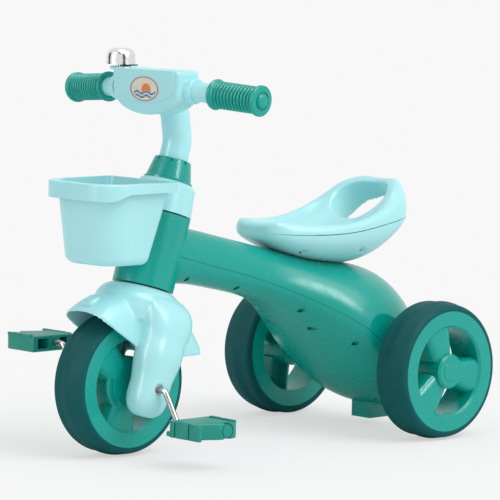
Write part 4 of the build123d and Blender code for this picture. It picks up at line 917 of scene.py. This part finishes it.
class MakeStage(bpy.types.Operator):
    """Set the floor, the light and the camera"""

    bl_idname = "tricycle.make_stage"
    bl_label = "Make Stage"

    def execute(self, context):
        setting = context.scene.tricycle_stage
        backdrop = context.scene.tricycle_colours.backdrop
        self.floor(backdrop)
        self.light(context, setting)
        self.dark_cards()
        self.sky(context, setting, backdrop)
        self.camera(context, setting)
        return {"FINISHED"}

    def floor(self, backdrop):
        """A wide floor that keeps the tricycle's shadow and fades into the backdrop."""
        bm = bmesh.new()
        bmesh.ops.create_grid(bm, x_segments=1, y_segments=1, size=30)
        floor = made_object("floor", bm)
        material, tree, shader, place = finish("Studio floor", Roughness=0.9, Specular_IOR_Level=0.0)
        tint(tree, shader, backdrop, speckle(tree, place, 3, 0.97, 1.0))
        seen = tree.nodes.new("ShaderNodeLightPath").outputs["Is Camera Ray"]
        glow = add(tree, "ShaderNodeEmission", Color=(*backdrop, 1))
        mix = tree.nodes.new("ShaderNodeMixShader")
        tree.links.new(maths(tree, "MULTIPLY", seen, FLOOR_GLOW), mix.inputs[0])
        tree.links.new(shader.outputs[0], mix.inputs[1])
        tree.links.new(glow.outputs[0], mix.inputs[2])
        tree.links.new(mix.outputs[0], tree.nodes["Material Output"].inputs["Surface"])
        floor.data.materials.append(material)

    def light(self, context, setting):
        """A soft sun from the upper right, and softboxes that show only as gloss."""
        sun = bpy.data.lights.new("Overhead", "SUN")
        sun.energy = setting.sun
        sun.angle = SUN_SPREAD
        lamp = bpy.data.objects.new("Overhead", sun)
        lamp.rotation_euler = SUN_FROM.to_track_quat("Z", "Y").to_euler()
        context.scene.collection.objects.link(lamp)
        for name, place, width, height, power in SOFTBOXES:
            light = bpy.data.lights.new(name, "AREA")
            light.shape = "RECTANGLE"
            light.size, light.size_y, light.energy = width, height, power
            lamp = bpy.data.objects.new(name, light)
            lamp.location = place
            lamp.visible_diffuse = False
            lamp.rotation_euler = (AIM - Vector(place)).to_track_quat("-Z", "Y").to_euler()
            context.scene.collection.objects.link(lamp)

    def dark_cards(self):
        """Dark cards beside the camera that only polished surfaces see."""
        material, tree, shader, place = finish("Dark card", Roughness=0.9)
        tint(tree, shader, (0.03, 0.035, 0.035), speckle(tree, place, 2, 0.5, 1.0))
        for name, place, width, height in CARDS:
            bm = bmesh.new()
            bmesh.ops.create_grid(bm, x_segments=1, y_segments=1, size=0.5)
            aim = (Vector(place) - AIM).to_track_quat("Z", "Y").to_matrix().to_4x4()
            bm.transform(Matrix.Translation(place) @ aim @ Matrix.Diagonal((width, height, 1, 1)))
            card = made_object(name, bm)
            card.data.materials.append(material)
            card.visible_camera = False
            card.visible_diffuse = False
            card.visible_shadow = False

    def sky(self, context, setting, backdrop):
        """Even light all round, seen as the plain backdrop."""
        world = bpy.data.worlds.new("Studio")
        world.use_nodes = True
        tree = world.node_tree
        seen = tree.nodes.new("ShaderNodeLightPath")
        shown = add(tree, "ShaderNodeBackground", Color=(*backdrop, 1), Strength=1.0)
        even = tree.nodes["Background"]
        even.inputs["Color"].default_value = (1, 1, 1, 1)
        even.inputs["Strength"].default_value = setting.daylight
        mix = tree.nodes.new("ShaderNodeMixShader")
        sharp = maths(tree, "MAXIMUM", seen.outputs["Is Glossy Ray"], seen.outputs["Is Transmission Ray"])
        tree.links.new(maths(tree, "MAXIMUM", seen.outputs["Is Camera Ray"], sharp), mix.inputs[0])
        tree.links.new(even.outputs[0], mix.inputs[1])
        tree.links.new(shown.outputs[0], mix.inputs[2])
        tree.links.new(mix.outputs[0], tree.nodes["World Output"].inputs["Surface"])
        context.scene.world = world

    def camera(self, context, setting):
        """The camera, aimed by its turn, height and roll."""
        lens = bpy.data.cameras.new("Camera")
        lens.lens = setting.lens
        lens.clip_end = 60
        camera = bpy.data.objects.new("Camera", lens)
        turn = Matrix.Rotation(setting.azimuth, 4, "Z")
        tip = Matrix.Rotation(math.radians(90) - setting.elevation, 4, "X")
        roll = Matrix.Rotation(setting.roll, 4, "Z")
        camera.matrix_world = Matrix.Translation(setting.place) @ turn @ tip @ roll
        context.scene.collection.objects.link(camera)
        context.scene.camera = camera
        context.scene.view_settings.view_transform = "Standard"


class TricyclePanel(bpy.types.Panel):
    """Sizes, colours and steps of the tricycle"""

    bl_idname = "VIEW3D_PT_tricycle"
    bl_label = "Tricycle"
    bl_space_type = "VIEW_3D"
    bl_region_type = "UI"
    bl_category = "Tricycle"

    def draw(self, context):
        scene = context.scene
        for group in (scene.tricycle_colours, scene.tricycle_sizes, scene.tricycle_stage):
            for name in group.__annotations__:
                self.layout.prop(group, name)
        for step in STEPS:
            self.layout.operator(step.bl_idname)


GROUPS = (TricycleColours, TricycleSizes, TricycleStage)
STEPS = (FinishParts, MakeSeat, MakeFork, MakePedals, MakeGrips, MakeScrews, MakeStage)


def register():
    """Adds the classes and the settings on the scene."""
    for cls in (*GROUPS, *STEPS, TricyclePanel):
        bpy.utils.register_class(cls)
    bpy.types.Scene.tricycle_colours = bpy.props.PointerProperty(type=TricycleColours)
    bpy.types.Scene.tricycle_sizes = bpy.props.PointerProperty(type=TricycleSizes)
    bpy.types.Scene.tricycle_stage = bpy.props.PointerProperty(type=TricycleStage)


def unregister():
    """Takes the settings and the classes away again."""
    del bpy.types.Scene.tricycle_stage
    del bpy.types.Scene.tricycle_sizes
    del bpy.types.Scene.tricycle_colours
    for cls in reversed((*GROUPS, *STEPS, TricyclePanel)):
        bpy.utils.unregister_class(cls)


def main():
    """Makes every piece in order."""
    register()
    bpy.ops.tricycle.finish_parts()
    bpy.ops.tricycle.make_seat()
    bpy.ops.tricycle.make_fork()
    bpy.ops.tricycle.make_pedals()
    bpy.ops.tricycle.make_grips()
    bpy.ops.tricycle.make_screws()
    bpy.ops.tricycle.make_stage()


if __name__ == "__main__":
    main()
